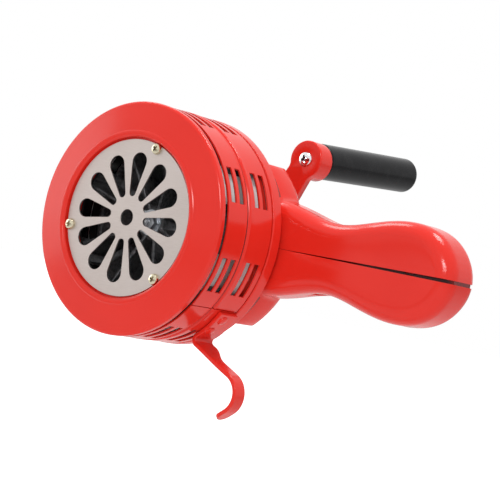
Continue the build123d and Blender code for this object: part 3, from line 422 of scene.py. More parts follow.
for radius, depth, width in (
    (bead_inner_r, 0.3 * bead_height, 0.25 * mm),
    (bead_outer_r - bead_flank, 0, 0.3 * mm),
    (bead_outer_r, bead_height, 0.15 * mm),
    (crown_r, crown_drop, 0.5 * mm),
    (cap_r, shoulder_drop, 0.4 * mm),
    (cap_r, cap_end, 0.4 * mm),
    (cap_r - cap_rim_wall, cap_end, 0.3 * mm),
    (ledge_r, grille_back, 0.3 * mm),
):
    round_ring(front_cap, radius, depth, width, 3)
placed(front_cap, "front_cap_cast", "frame", red_paint, ["front_cap"])

# --- The grille ---
# A disc of 1 mm steel sheet, pressed with twelve tear-shaped petals round a centre eye. Its sheared
# edges are rounded by the press, and it is left bare, with the mill's fine grain across it.
grille_r = window_r - 1.0 * mm
eye_r = 3.82 * mm
petals = 12
petal_turn = math.radians(2)
petal_inner_at, petal_inner_r = 12.05 * mm, 1.9 * mm
petal_outer_at, petal_outer_r = 26.46 * mm, 4.4 * mm
pressed_edge = 0.14 * mm


def loop_of(curve, points):
    """Adds a closed outline to a flat curve."""
    spline = curve.splines.new("POLY")
    spline.points.add(len(points) - 1)
    for point, (x, y) in zip(spline.points, points):
        point.co = (x, y, 0, 1)
    spline.use_cyclic_u = True


def ring_points(radius, count):
    """Even points round a circle."""
    turns = [math.tau * i / count for i in range(count)]
    return [(radius * math.sin(turn), radius * math.cos(turn)) for turn in turns]


def petal_points(turn, steps=12):
    """A petal's outline: two arcs, tangent to its straight sides, turned to its place."""
    slope = math.asin((petal_outer_r - petal_inner_r) / (petal_outer_at - petal_inner_at))
    points = []
    for radius, along, start, sweep in (
        (petal_outer_r, petal_outer_at, -slope, math.pi + 2 * slope),
        (petal_inner_r, petal_inner_at, math.pi + slope, math.pi - 2 * slope),
    ):
        for i in range(steps + 1):
            angle = start + sweep * i / steps
            x, y = radius * math.cos(angle), along + radius * math.sin(angle)
            points.append((x * math.cos(turn) + y * math.sin(turn), y * math.cos(turn) - x * math.sin(turn)))
    return points


def taken_from(holder):
    """What an object shows, with its curve or its cut worked out, as a mesh to work on."""
    bpy.context.view_layer.update()
    shown = holder.evaluated_get(bpy.context.evaluated_depsgraph_get())
    mesh = bpy.data.meshes.new_from_object(shown)
    bm = bmesh.new()
    bm.from_mesh(mesh)
    bpy.data.meshes.remove(mesh)
    return bm


grille_outline = bpy.data.curves.new("grille_outline", "CURVE")
grille_outline.dimensions = "2D"
grille_outline.fill_mode = "BOTH"
grille_outline.extrude = (grille_back - grille_front) / 2 - pressed_edge
grille_outline.bevel_depth = pressed_edge
grille_outline.bevel_resolution = 2
grille_outline.offset = -pressed_edge
loop_of(grille_outline, ring_points(grille_r, TURN_STEPS))
loop_of(grille_outline, ring_points(eye_r, 48))
for i in range(petals):
    loop_of(grille_outline, petal_points(petal_turn + math.tau * i / petals))
grille_flat = bpy.data.objects.new("grille_flat", grille_outline)
scene.collection.objects.link(grille_flat)
grille = taken_from(grille_flat)
bpy.data.objects.remove(grille_flat)
bmesh.ops.rotate(grille, verts=grille.verts, matrix=Matrix.Rotation(math.pi / 2, 3, "X"))
bmesh.ops.translate(grille, verts=grille.verts, vec=(0, (grille_front + grille_back) / 2, 0))
bmesh.ops.remove_doubles(grille, verts=grille.verts, dist=1e-6)
bmesh.ops.recalc_face_normals(grille, faces=grille.faces)


def metal_group():
    """Bare metal: streaks along one direction, or an even grain, in tone, gloss and height, and painted
    shade, nearly black, nearer to the drum's axis than a given radius.
    """
    tree, given, made, place = finish_group(
        "bare metal",
        (
            ("Color", "Color", (1, 1, 1, 1)),
            ("Stain", "Color", (0.8, 0.8, 0.8, 1)),
            ("Stain Amount", "Float", 0.3),
            ("Roughness", "Float", 0.3),
            ("Roughness Change", "Float", 0.15),
            ("Grain", "Vector", (1000, 1000, 1000)),
            ("Grain Height", "Float", 0.1),
            ("Shade Painted Within", "Float", 0.0),
        ),
    )
    nodes, links = tree.nodes, tree.links
    stretch = nodes.new("ShaderNodeVectorMath")
    stretch.operation = "MULTIPLY"
    links.new(place.outputs["Object"], stretch.inputs[0])
    links.new(given.outputs["Grain"], stretch.inputs[1])
    grain = noise_at(tree, stretch.outputs[0], detail=3)
    blotch = noise_at(tree, place.outputs["Object"], detail=4, scale=60)
    both = nodes.new("ShaderNodeMath")
    both.operation = "MULTIPLY"
    links.new(grain.outputs["Fac"], both.inputs[0])
    links.new(blotch.outputs["Fac"], both.inputs[1])
    spread = nodes.new("ShaderNodeMapRange")
    spread.inputs["From Min"].default_value = 0.12
    spread.inputs["From Max"].default_value = 0.42
    links.new(both.outputs[0], spread.inputs["Value"])
    share = nodes.new("ShaderNodeMath")
    share.operation = "MULTIPLY"
    links.new(spread.outputs["Result"], share.inputs[0])
    links.new(given.outputs["Stain Amount"], share.inputs[1])
    tone = nodes.new("ShaderNodeMixRGB")
    links.new(share.outputs[0], tone.inputs["Fac"])
    links.new(given.outputs["Color"], tone.inputs["Color1"])
    links.new(given.outputs["Stain"], tone.inputs["Color2"])
    # Painted shade: the metal turns nearly black nearer to the drum's axis than the given radius.
    outside = painted_shade_near_axis(nodes, links, place, given.outputs["Shade Painted Within"], tone.outputs["Color"])
    links.new(outside, made.inputs["Color"])
    links.new(given.outputs["Roughness Change"], duller_by(tree, given, made, grain.outputs["Fac"]))
    links.new(given.outputs["Grain Height"], raised(tree, made, grain.outputs["Fac"], 0.1 * mm))
    return tree


bare_metal = metal_group()


def bare_finish(name, colour, stain, stained, roughness, change, grain, height, metallic=1, metal_shade_within=0):
    """Unpainted metal in two tones, with the grain and the gloss that its making leaves."""
    return finish_from(
        bare_metal,
        name,
        {"Metallic": metallic},
        {
            "Color": (*colour, 1),
            "Stain": (*stain, 1),
            "Stain Amount": stained,
            "Roughness": roughness,
            "Roughness Change": change,
            "Grain": grain,
            "Grain Height": height,
            "Shade Painted Within": metal_shade_within,
        },
    )


grille_steel = bare_finish(
    "grille_steel",
    colour=(0.54, 0.48, 0.45),
    stain=(0.46, 0.40, 0.37),
    stained=0.5,
    roughness=0.36,
    change=0.14,
    grain=(260, 900, 2600),
    height=0.12,
)
placed(grille, "grille_pressing", "frame", grille_steel, ["grille_plate"], angle=40)

# --- The cross-headed screws ---
# Steel pan heads with a cross recess, cold-headed and then plated: yellow zinc on the grille, bright
# nickel on the handle, clear zinc where they don't show from the front.
yellow_zinc = bare_finish(
    "yellow_zinc",
    colour=(0.72, 0.66, 0.48),
    stain=(0.50, 0.46, 0.33),
    stained=0.7,
    roughness=0.10,
    change=0.12,
    grain=(1500, 1500, 1500),
    height=0.15,
)
clear_zinc = bare_finish(
    "zinc_steel",
    colour=(0.62, 0.64, 0.67),
    stain=(0.45, 0.48, 0.52),
    stained=0.6,
    roughness=0.24,
    change=0.15,
    grain=(1400, 1400, 1400),
    height=0.12,
)
bright_nickel = bare_finish(
    "chrome",
    colour=(0.86, 0.87, 0.89),
    stain=(0.70, 0.70, 0.72),
    stained=0.3,
    roughness=0.08,
    change=0.08,
    grain=(1500, 1500, 1500),
    height=0.04,
)


def spun(corners, steps=40):
    """A profile of (radius, height) corners from the axis back to the axis, spun about Z."""
    bm = bmesh.new()
    verts = [bm.verts.new((radius, 0, height)) for radius, height in corners]
    edges = [bm.edges.new(pair) for pair in zip(verts, verts[1:])]
    bmesh.ops.spin(
        bm, geom=verts + edges, cent=(0, 0, 0), axis=(0, 0, 1), angle=math.tau, steps=steps, use_merge=True
    )
    bmesh.ops.remove_doubles(bm, verts=bm.verts, dist=1e-6)
    bmesh.ops.recalc_face_normals(bm, faces=bm.faces)
    return bm


def carve(bm, cutter):
    """Cuts one mesh out of another and returns what is left."""
    pair = []
    for part, name in ((bm, "carved"), (cutter, "cutter")):
        mesh = bpy.data.meshes.new(name)
        part.to_mesh(mesh)
        part.free()
        holder = bpy.data.objects.new(name, mesh)
        scene.collection.objects.link(holder)
        pair.append(holder)
    cut = pair[0].modifiers.new("cut", "BOOLEAN")
    cut.operation = "DIFFERENCE"
    cut.solver = "EXACT"
    cut.object = pair[1]
    result = taken_from(pair[0])
    for holder in pair:
        bpy.data.objects.remove(holder)
    return result


def block(width, depth, height):
    """A box about the origin."""
    bm = bmesh.new()
    bmesh.ops.create_cube(bm, size=1)
    bmesh.ops.scale(bm, verts=bm.verts, vec=(width, depth, height))
    return bm


def pan_head(head_r, head, shank_r, length):
    """A domed head whose underside is at height 0, with a tapered cross recess, and its shank below."""
    shoulder = 0.45 * head
    bm = spun(
        [
            (0, head),
            (0.55 * head_r, 0.97 * head),
            (0.84 * head_r, 0.80 * head),
            (0.97 * head_r, shoulder),
            (head_r, 0.1 * head),
            (0.97 * head_r, 0),
            (shank_r, 0),
            (shank_r, -length + 0.3 * shank_r),
            (0.7 * shank_r, -length),
            (0, -length),
        ]
    )
    for turn in (math.pi / 4, 3 * math.pi / 4):
        blade = block(1.4 * head_r, 0.36 * head_r, 2.6 * head)
        low = [v for v in blade.verts if v.co.z < 0]
        bmesh.ops.scale(blade, verts=low, vec=(0.45, 0.8, 1))
        bm = carve(bm, moved(blade, Matrix.Translation((0, 0, 1.02 * head)) @ Matrix.Rotation(turn, 4, "Z")))
    return bm


def merged(parts):
    """Several meshes as one."""
    whole = bmesh.new()
    for part in parts:
        mesh = bpy.data.meshes.new("part")
        part.to_mesh(mesh)
        part.free()
        whole.from_mesh(mesh)
        bpy.data.meshes.remove(mesh)
    return whole


def moved(bm, matrix):
    """A mesh carried to its place."""
    bmesh.ops.transform(bm, matrix=matrix, verts=bm.verts)
    return bm


def about_drum(turn):
    """Carries what stands at the top of the drum round to its angle, counted from +Z towards +X."""
    return Matrix.Rotation(turn, 4, "Y")


facing_front = Matrix.Rotation(math.pi / 2, 4, "X")
facing_back = Matrix.Rotation(-math.pi / 2, 4, "X")
grille_screw_at = 35.0 * mm
grille_screw_turn = math.radians(16.6)
grille_screw_head_r, grille_screw_head = 2.7 * mm, 1.6 * mm
grille_screw_r, grille_screw_length = 1.5 * mm, 6.4 * mm
heads = []
for i in range(3):
    seat = Matrix.Translation((0, grille_front, grille_screw_at)) @ facing_front
    twist = Matrix.Rotation(math.radians(25 + 47 * i), 4, "Z")
    head = pan_head(grille_screw_head_r, grille_screw_head, grille_screw_r, grille_screw_length)
    heads.append(moved(head, about_drum(grille_screw_turn + i * math.tau / 3) @ seat @ twist))
placed(merged(heads), "grille_screw_heads", "frame", yellow_zinc, ["grille_screws"], angle=28)

# --- The stator ---
# A bare aluminium casting behind the slots: eight bars round the drum with ports between them, joined
# by a web at the front and a ring at the back. It is blasted after casting, and left unpainted.
cast_aluminium = bare_finish(
    "bare_aluminium",
    colour=(0.84, 0.84, 0.83),
    stain=(0.70, 0.70, 0.70),
    stained=0.7,
    roughness=0.42,
    change=0.2,
    grain=(900, 900, 900),
    height=0.5,
    metallic=0.25,
    # Nearer to the axis than 50.6 mm the aluminium is painted nearly black: painted shade for the inside of
    # the drum.
    metal_shade_within=50.6 * mm,
)


def merged_copy(node):
    """A copy of the solid's mesh with its facets joined."""
    bm = bmesh.new()
    bm.from_mesh(cad[node].data)
    bmesh.ops.remove_doubles(bm, verts=bm.verts, dist=2e-6)
    return bm


def refined(node, material, angle=32):
    """The solid's own shape with its facets joined and its curves shaded smooth."""
    return placed(merged_copy(node), node + "_finished", cad[node]["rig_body"], material, [node], angle)


stator = merged_copy("stator_drum")
stator_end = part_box("stator_drum")[1].y
port_tail = 3 * mm
for vert in stator.verts:
    if vert.co.y > stator_end - 0.1 * mm:
        vert.co.y += port_tail
ports, port_first = 8, 41.5
port_mouth = (23 * mm, 4.6 * mm, 14 * mm)
port_mouth_seat = Matrix.Translation((0, 8.6 * mm, 51 * mm))
for i in range(ports):
    port_turn = math.radians(port_first + i * 360 / ports)
    stator = carve(stator, moved(block(*port_mouth), about_drum(port_turn) @ port_mouth_seat))
bmesh.ops.dissolve_degenerate(stator, edges=stator.edges[:], dist=5e-6)
placed(stator, "stator_drum_finished", "frame", cast_aluminium, ["stator_drum"])

# --- The back plate ---
# A casting whose rounded ring shows behind the shutter, with a shaded neck between the ring and the gear
# case. Its collar and web close the drum behind the rotor, and it is sprayed with the front cap.
plate = merged_copy("back_plate")
plate_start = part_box("back_plate")[0].y
neck_r, neck_root_r, neck_end = 50.0 * mm, 48.0 * mm, 58.5 * mm
ring_inner_r, ring_middle = 51.4 * mm, 47.0 * mm
ring_front_shift, ring_rear_shift = 0.8 * mm, 2.0 * mm
ring_outer_r = cap_r - 1.5 * mm
for vert in plate.verts:
    reach = math.hypot(vert.co.x, vert.co.z)
    if vert.co.y < plate_start + 0.1 * mm:
        vert.co.y += port_tail
    if reach > ring_inner_r and vert.co.y > ring_middle:
        vert.co.y -= ring_rear_shift
    elif reach > ring_outer_r:
        vert.co.y -= ring_front_shift
neck_start = ring_middle - ring_rear_shift
neck = turned([(neck_root_r, neck_start), (neck_r, neck_start), (neck_r, neck_end), (neck_root_r, neck_end)])
placed(plate, "back_plate_finished", "frame", red_paint, ["back_plate"])
red_in_shade = sprayed_red("red_paint_in_shade", colour=(0.22, 0.009, 0.007, 1))
placed(neck, "back_plate_neck", "frame", red_in_shade, ["back_plate"])

# --- The shutter sleeve ---
# Steel strip rolled into a ring, with a groove between raised lips rolled round its middle. Thirty-two
# slots are pressed through it in eight groups, and its ends meet in a thin seam beside the hook.
sleeve_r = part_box("shutter_sleeve")[1].x
sleeve_start, sleeve_end = 8.5 * mm, 41.2 * mm
sleeve_wall = 1.1 * mm
groove_at, groove_half, groove_depth = 23.6 * mm, 1.2 * mm, 1.1 * mm
lip_half, lip_rise = 0.5 * mm, 0.16 * mm
groove_reach = groove_half + 2 * lip_half
groove_rows = [groove_at + groove_reach * (i / 9 - 1) for i in range(19)]
slot_starts = [10.6 * mm, 16.7 * mm, 28.2 * mm, 34.4 * mm]
slot_width = 3.9 * mm
slot_groups = 8
slot_first, slot_half = 64, 9
seam_turn, seam_gap = 127.3, 0.5 * mm
sleeve_edge = 0.22 * mm
slot_ends = [start + slot_width for start in slot_starts]
sleeve_rows = sorted([sleeve_start, sleeve_end, *groove_rows, *slot_starts, *slot_ends])


def turn_of(point):
    """The angle of a point round the drum, in degrees from +Z towards +X."""
    return math.degrees(math.atan2(point.x, point.z)) % 360


sleeve = bmesh.new()
line = [sleeve.verts.new((0, depth, sleeve_r - lip_rise)) for depth in sleeve_rows]
for vert in line:
    off = abs(vert.co.y - groove_at)
    if off < groove_half:
        vert.co.z -= groove_depth * (1 + math.cos(math.pi * off / groove_half)) / 2
    elif off < groove_reach:
        vert.co.z += lip_rise * (1 - math.cos(math.pi * (off - groove_half) / lip_half)) / 2
line_edges = [sleeve.edges.new(pair) for pair in zip(line, line[1:])]
bmesh.ops.spin(
    sleeve, geom=line + line_edges, cent=(0, 0, 0), axis=(0, 1, 0), angle=math.tau, steps=360, use_merge=True
)
bmesh.ops.remove_doubles(sleeve, verts=sleeve.verts, dist=1e-6)
pressed_out = []
for face in sleeve.faces:
    spot = face.calc_center_median()
    off_group = (turn_of(spot) - slot_first + 180 / slot_groups) % (360 / slot_groups) - 180 / slot_groups
    in_row = any(start < spot.y < start + slot_width for start in slot_starts)
    if in_row and abs(off_group) < slot_half:
        pressed_out.append(face)
bmesh.ops.delete(sleeve, geom=pressed_out, context="FACES")
seam_half = math.degrees(seam_gap / 2 / sleeve_r)
for side in (-seam_half, seam_half):
    near_seam = [f for f in sleeve.faces if abs(turn_of(f.calc_center_median()) - seam_turn) < 3]
    near_edges = list({e for f in near_seam for e in f.edges})
    near_verts = list({v for f in near_seam for v in f.verts})
    cut_turn = math.radians(seam_turn + side)
    bmesh.ops.bisect_plane(
        sleeve,
        geom=near_seam + near_edges + near_verts,
        plane_co=(0, 0, 0),
        plane_no=(math.cos(cut_turn), 0, -math.sin(cut_turn)),
    )
seam_faces = [f for f in sleeve.faces if abs(turn_of(f.calc_center_median()) - seam_turn) < seam_half]
bmesh.ops.delete(sleeve, geom=seam_faces, context="FACES")
bmesh.ops.recalc_face_normals(sleeve, faces=sleeve.faces)
facings = [(f.normal.copy(), f.calc_center_median()) for f in sleeve.faces]
outward = sum(normal.dot(Vector((spot.x, 0, spot.z))) for normal, spot in facings)
if outward < 0:
    bmesh.ops.reverse_faces(sleeve, faces=sleeve.faces)
bmesh.ops.solidify(sleeve, geom=sleeve.faces[:], thickness=sleeve_wall)
bmesh.ops.recalc_face_normals(sleeve, faces=sleeve.faces)
sheared = [e for e in sleeve.edges if e.is_manifold and e.calc_face_angle() > math.radians(60)]
rounded(sleeve, sheared, sleeve_edge, 2, clamped=True)
tab_turns = (168, 346)
tab_at = 38.6 * mm
tab_size = (1.6 * mm, 1.5 * mm, 2.6 * mm)
tab_edge, tab_drop = 0.2 * mm, 0.5 * mm
for tab_turn in tab_turns:
    tab = block(*tab_size)
    rounded(tab, tab.edges[:], tab_edge, 2)
    lift = Matrix.Translation((0, tab_at, sleeve_r - 2 * sleeve_wall - tab_drop))
    moved(tab, about_drum(math.radians(tab_turn)) @ lift)
    sleeve = merged([sleeve, tab])
# The sleeve's inner side carries painted shade, nearly black.
placed(sleeve, "shutter_sleeve_rolled", "shutter", red_sleeve_shaded_inside, ["shutter_sleeve"], angle=35)

# --- The trigger hook ---
# A strip of 2 mm steel, cut to a taper, bent sharply off the drum and curled for the finger. It lies
# on the rear band of the shutter, held by two rivets, and is painted in place.
hook_thick = 2 * mm
hook_front, hook_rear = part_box("trigger_hook")[0].y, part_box("trigger_hook")[1].y
hook_gap = 0.05 * mm
hook_turns = (128, 147)
hook_bend_r = 2.6 * mm
hook_lean = -23.5
hook_reach = 25.5 * mm
hook_curl_r, hook_curl = 9.6 * mm, 118
hook_tip = 6 * mm
hook_tip_front, hook_tip_width = 30.6 * mm, 7.4 * mm
hook_front_taper = 17.9 * mm
hook_rear_taper = (2.0 * mm, 15.0 * mm)
hook_slant = (3.0 * mm, 5.6 * mm)
hook_spread = 3.5 * mm
hook_edge = 0.6 * mm


def swept_arc(bm, ring, centre, degrees, steps):
    """Carries a ring of edges round an axis along the drum, clockwise from the back, to a new ring."""
    verts = list({v for e in ring for v in e.verts})
    last = bmesh.ops.spin(
        bm, geom=verts + ring, cent=centre, axis=(0, 1, 0), angle=math.radians(degrees), steps=steps
    )["geom_last"]
    return [e for e in last if isinstance(e, bmesh.types.BMEdge)]


def swept_straight(bm, ring, way, steps):
    """Carries a ring of edges along a straight line in equal steps."""
    for _ in range(steps):
        new = bmesh.ops.extrude_edge_only(bm, edges=ring)["geom"]
        bmesh.ops.translate(bm, verts=[v for v in new if isinstance(v, bmesh.types.BMVert)], vec=way / steps)
        ring = [e for e in new if isinstance(e, bmesh.types.BMEdge) and e.is_boundary]
    return ring


def centre_of(ring):
    """The middle of a ring of edges."""
    verts = {v for e in ring for v in e.verts}
    return sum((v.co for v in verts), Vector()) / len(verts)


def smooth_step(share):
    """Eases a share from 0 to 1."""
    share = min(1, max(0, share))
    return share * share * (3 - 2 * share)


hook = bmesh.new()
hook_inner = sleeve_r + hook_gap
hook_base_r = hook_inner + hook_thick + 0.05 * mm
nose_limit = 0.96
corner_spots = [
    (hook_front, hook_inner),
    (hook_front, hook_inner + hook_thick),
    (hook_rear, hook_inner + hook_thick),
    (hook_rear, hook_inner),
]
corners = [hook.verts.new((0, depth, radius)) for depth, radius in corner_spots]
bmesh.ops.transform(hook, matrix=about_drum(math.radians(hook_turns[0])), verts=corners)
ring = [hook.edges.new((corners[i], corners[i - 1])) for i in range(4)]
hook.faces.new(corners)
ring = swept_arc(hook, ring, (0, 0, 0), hook_turns[1] - hook_turns[0], 10)
elbow_turn = math.radians(hook_turns[1])
outward = Vector((math.sin(elbow_turn), 0, math.cos(elbow_turn)))
ring = swept_arc(hook, ring, centre_of(ring) + outward * hook_bend_r, -(hook_turns[1] + hook_lean), 24)
elbow = centre_of(ring)
lean = math.radians(hook_lean)
heading = Vector((math.cos(lean), 0, math.sin(lean)))
ring = swept_straight(hook, ring, heading * hook_reach, 12)
right_hand = Vector((heading.z, 0, -heading.x))
ring = swept_arc(hook, ring, centre_of(ring) + right_hand * hook_curl_r, hook_curl, 30)
heading = Matrix.Rotation(math.radians(hook_curl), 3, "Y") @ heading
nose = hook_tip_width / 2
ring = swept_straight(hook, ring, heading * (hook_tip - nose), 3)
ring = swept_straight(hook, ring, heading * (nose + 0.65 * hook_thick / 2), 10)
tip_end = centre_of(ring)
bmesh.ops.contextual_create(hook, geom=ring)
for vert in hook.verts:
    past = max(0, vert.co.x - elbow.x)
    along = 1
    if math.hypot(vert.co.x, vert.co.z) < hook_base_r:
        past = 0
        along = smooth_step((turn_of(vert.co) - hook_turns[0]) / (hook_turns[1] - hook_turns[0]))
    from_front = smooth_step(past / hook_front_taper)
    from_rear = smooth_step((past - hook_rear_taper[0]) / (hook_rear_taper[1] - hook_rear_taper[0]))
    root_front = hook_front + hook_slant[0] + (hook_slant[1] - hook_slant[0]) * along
    root_rear = hook_rear + hook_spread * along
    front = root_front + (hook_tip_front - root_front) * from_front
    rear = root_rear + (hook_tip_front + hook_tip_width - root_rear) * from_rear
    into_nose = 1 - (tip_end - vert.co).dot(heading) / nose
    if 0 < into_nose and (tip_end - vert.co).length < hook_rear - hook_front:
        drawn_in = nose * (1 - math.sqrt(1 - min(nose_limit, into_nose**2)))
        front, rear = front + drawn_in, rear - drawn_in
    share = (vert.co.y - hook_front) / (hook_rear - hook_front)
    vert.co.y = front + (rear - front) * share
bmesh.ops.recalc_face_normals(hook, faces=hook.faces)
along_edges = [e for e in hook.edges if e.is_manifold and e.calc_face_angle() > math.radians(50)]
rounded(hook, along_edges, hook_edge, 3, clamped=True)
placed(hook, "trigger_hook_bent", "shutter", red_paint, ["trigger_hook"], angle=45)

# --- The hook's rivets ---
# Two steel rivets with low domes outside and flat heads inside the shutter. They are set before the
# paint goes on, which fills the corners round their heads.
rivet_r = 1.5 * mm
rivet_head_r, rivet_head = 2.6 * mm, 1.0 * mm
rivet_turns = (132, 140.5)
rivet_gap = 0.02 * mm
rivet_inner = math.sqrt((sleeve_r - sleeve_wall) ** 2 - rivet_head_r**2) - rivet_gap
rivet_outer = hook_inner + hook_thick
rivets = []
for rivet_turn in rivet_turns:
    rivet = spun(
        [
            (0, rivet_outer + rivet_head),
            (0.45 * rivet_head_r, rivet_outer + 0.93 * rivet_head),
            (0.8 * rivet_head_r, rivet_outer + 0.68 * rivet_head),
            (0.96 * rivet_head_r, rivet_outer + 0.34 * rivet_head),
            (rivet_head_r, rivet_outer),
            (rivet_r, rivet_outer),
            (rivet_r, rivet_inner),
            (rivet_head_r, rivet_inner),
            (0.95 * rivet_head_r, rivet_inner - 0.5 * rivet_head),
            (0, rivet_inner - 0.5 * rivet_head),
        ],
        steps=28,
    )
    lift = Matrix.Translation((0, (hook_front + hook_rear) / 2, 0))
    rivets.append(moved(rivet, about_drum(math.radians(rivet_turn)) @ lift))
placed(merged(rivets), "hook_rivets_set", "shutter", red_paint, ["hook_rivets"], angle=30)

# --- Pins, post and return spring ---
# Short ground pins in the collar end the shutter's travel and hold the spring. The spring is drawn
# steel wire, close to the collar, and shows only through the slots.
ground_steel = bare_finish(
    "shaft_steel",
    colour=(0.58, 0.58, 0.60),
    stain=(0.42, 0.42, 0.44),
    stained=0.6,
    roughness=0.22,
    change=0.16,
    grain=(300, 4200, 300),
    height=0.15,
)
drawn_wire = bare_finish(
    "spring_steel",
    colour=(0.50, 0.50, 0.52),
    stain=(0.30, 0.29, 0.28),
    stained=0.8,
    roughness=0.28,
    change=0.2,
    grain=(2500, 2500, 2500),
    height=0.2,
)
refined("shutter_stop_pins", ground_steel)
refined("spring_post", ground_steel)
refined("return_spring", drawn_wire, angle=60)

# --- The rotor ---
# A second aluminium casting that turns inside the stator, with eight vanes, a rear disc and a ported
# rim. It is turned on its rim, and coloured dark grey all over: painted shade for the drum's dark inside.
rotor_in_painted_shade = bare_finish(
    "rotor_aluminium",
    colour=(0.24, 0.24, 0.25),
    stain=(0.06, 0.06, 0.06),
    stained=0.9,
    roughness=0.38,
    change=0.3,
    grain=(700, 700, 700),
    height=0.6,
    metallic=0.85,
)
refined("rotor", rotor_in_painted_shade)

# --- The rotor's nut and washer ---
# A plated hexagon nut and a plain washer hold the rotor on its shaft. The nut shows through the
# grille's eye, so it has the chamfered corners of a real one.


def hexagon_nut(across_flats, thick, bore_r, start):
    """A hexagon nut about the drum's axis, its corners turned down on both faces and its bore opened out."""
    corner_r = across_flats / math.sqrt(3)
    bm = bmesh.new()
    bmesh.ops.create_circle(bm, cap_ends=True, segments=6, radius=corner_r)
    top = bmesh.ops.extrude_face_region(bm, geom=bm.faces[:])["geom"]
    bmesh.ops.translate(bm, verts=[v for v in top if isinstance(v, bmesh.types.BMVert)], vec=(0, 0, thick))
    bmesh.ops.recalc_face_normals(bm, faces=bm.faces)
    chamfer = (corner_r - across_flats / 2) * 0.55
    low_r = across_flats / 2 * 0.97
    reach = 2 * corner_r
    for height, sign in ((thick, 1), (0, -1)):
        cone = spun(
            [
                (low_r, height),
                (reach, height - sign * (reach - low_r) * chamfer / (corner_r - low_r)),
                (reach, height + sign * thick),
                (low_r, height + sign * thick),
                (low_r, height),
            ],
            steps=72,
        )
        bm = carve(bm, cone)
    mouth = 1.12 * bore_r
    flare = mouth - bore_r
    bore = spun(
        [
            (0, thick + flare),
            (mouth + flare, thick + flare),
            (bore_r, thick - flare),
            (bore_r, flare),
            (mouth + flare, -flare),
            (0, -flare),
        ],
        steps=48,
    )
    bm = carve(bm, bore)
    return moved(bm, Matrix.Translation((0, start, 0)) @ facing_back @ Matrix.Rotation(math.pi / 2, 4, "Z"))


def nut_for(node, bore_r):
    """A nut of the solid's size, at the solid's place."""
    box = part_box(node)
    return hexagon_nut(box[1].z - box[0].z, box[1].y - box[0].y, bore_r, box[0].y)


rotor_nut = nut_for("rotor_nut", 2.22 * mm)
placed(rotor_nut, "rotor_nut_chamfered", "rotor", clear_zinc, ["rotor_nut"], angle=25)
refined("rotor_washer", clear_zinc)

# --- The shafts ---
# Ground steel bars: the rotor's stepped shaft, the plain layshaft, and the crank's shaft with a
# shoulder and a thread, which takes the nut behind the arm.
refined("rotor_shaft", ground_steel)
refined("layshaft", ground_steel)
refined("crank_shaft", ground_steel)

# --- The gear train ---
# Two wheels and two pinions, hobbed from steel and oiled. They are closed in the gear case, where
# nothing wears their faces bright but the teeth.
hobbed_steel = bare_finish(
    "gear_steel",
    colour=(0.42, 0.42, 0.44),
    stain=(0.20, 0.18, 0.15),
    stained=0.8,
    roughness=0.22,
    change=0.22,
    grain=(260, 2600, 260),
    height=0.3,
)
for gear in ("rotor_pinion", "layshaft_gear", "layshaft_pinion", "crank_gear"):
    refined(gear, hobbed_steel, angle=18)

# --- Bearings and bushes ---
# The rotor runs in two shielded ball bearings pressed into the back plate. The layshaft and the crank
# run in bushes of oil-filled bronze.
bearing_steel = bare_finish(
    "bearing_steel",
    colour=(0.70, 0.71, 0.73),
    stain=(0.55, 0.55, 0.57),
    stained=0.4,
    roughness=0.12,
    change=0.14,
    grain=(300, 3600, 300),
    height=0.08,
)
sintered_bronze = bare_finish(
    "bronze",
    colour=(0.66, 0.46, 0.24),
    stain=(0.34, 0.22, 0.12),
    stained=0.9,
    roughness=0.32,
    change=0.2,
    grain=(3000, 3000, 3000),
    height=0.5,
)
refined("rotor_bearing_front", bearing_steel)
refined("rotor_bearing_rear", bearing_steel)
for bush in ("layshaft_bush_front", "layshaft_bush_rear", "crank_bush"):
    refined(bush, sintered_bronze)

# --- The gear case and the grip ---
# Two die-cast halves, parted along the drum's axis. Each has half of the case, with a flat above or below,
# and half of the contoured grip, whose seam opens towards its end over a shaded lip. They are sprayed
# before they are joined.
case_r = 50.5 * mm
case_wall = 3.1 * mm
case_flat = 39 * mm
case_turn_in, case_edge_at = 8 * mm, 69 * mm
case_draft_run = 8
touching = 0.1 * mm
grip_root = 24 * mm
seam_open, seam_reach = 0.3 * mm, 0.6 * mm
lip_height = 5 * mm
lip_corners = (((50.5, 60), (143.5, 61.5)), ((143, 57.5), (146.3, 71.5)))
for half in ("housing_upper", "housing_lower"):
    shell = merged_copy(half)
    for vert in shell.verts:
        reach = math.hypot(vert.co.x, vert.co.z)
        on_grip = vert.co.x > 0 and abs(vert.co.z) < grip_root
        if neck_root_r < reach < case_r + touching and vert.co.y < neck_end and not on_grip:
            vert.co.y = neck_end
        if vert.co.x > case_r and abs(vert.co.z) < seam_reach:
            vert.co.z += seam_open if half == "housing_upper" else -seam_open
        past_edge = max(0, vert.co.y - case_edge_at)
        from_turn_in = math.hypot(max(0, reach - (case_r - case_turn_in)), past_edge)
        on_rounding = from_turn_in > case_turn_in - touching and past_edge > 0
        if on_rounding:
            limit = case_flat - past_edge / case_draft_run
        else:
            limit = case_flat - (case_r - reach)
        if reach < case_r - case_wall and not on_rounding:
            continue
        if vert.co.x < case_r and abs(vert.co.z) > limit:
            vert.co.z = math.copysign(limit, vert.co.z)
    bmesh.ops.dissolve_degenerate(shell, edges=shell.edges[:], dist=1e-6)
    placed(shell, half + "_finished", "frame", red_paint, [half], angle=40)
lips = []
for low, high in lip_corners:
    size, spot = Vector(high) - Vector(low), (Vector(high) + Vector(low)) / 2
    lip = block(size.x * mm, size.y * mm, lip_height)
    bmesh.ops.translate(lip, verts=lip.verts, vec=(spot.x * mm, spot.y * mm, 0))
    lips.append(lip)
placed(merged(lips), "grip_seam_lip", "frame", red_in_shade, ["housing_lower"])

# --- The long screws ---
# Plated pan heads: four from the back plate into the stator, four through the gear case from behind,
# and two up through the lower half of the grip.


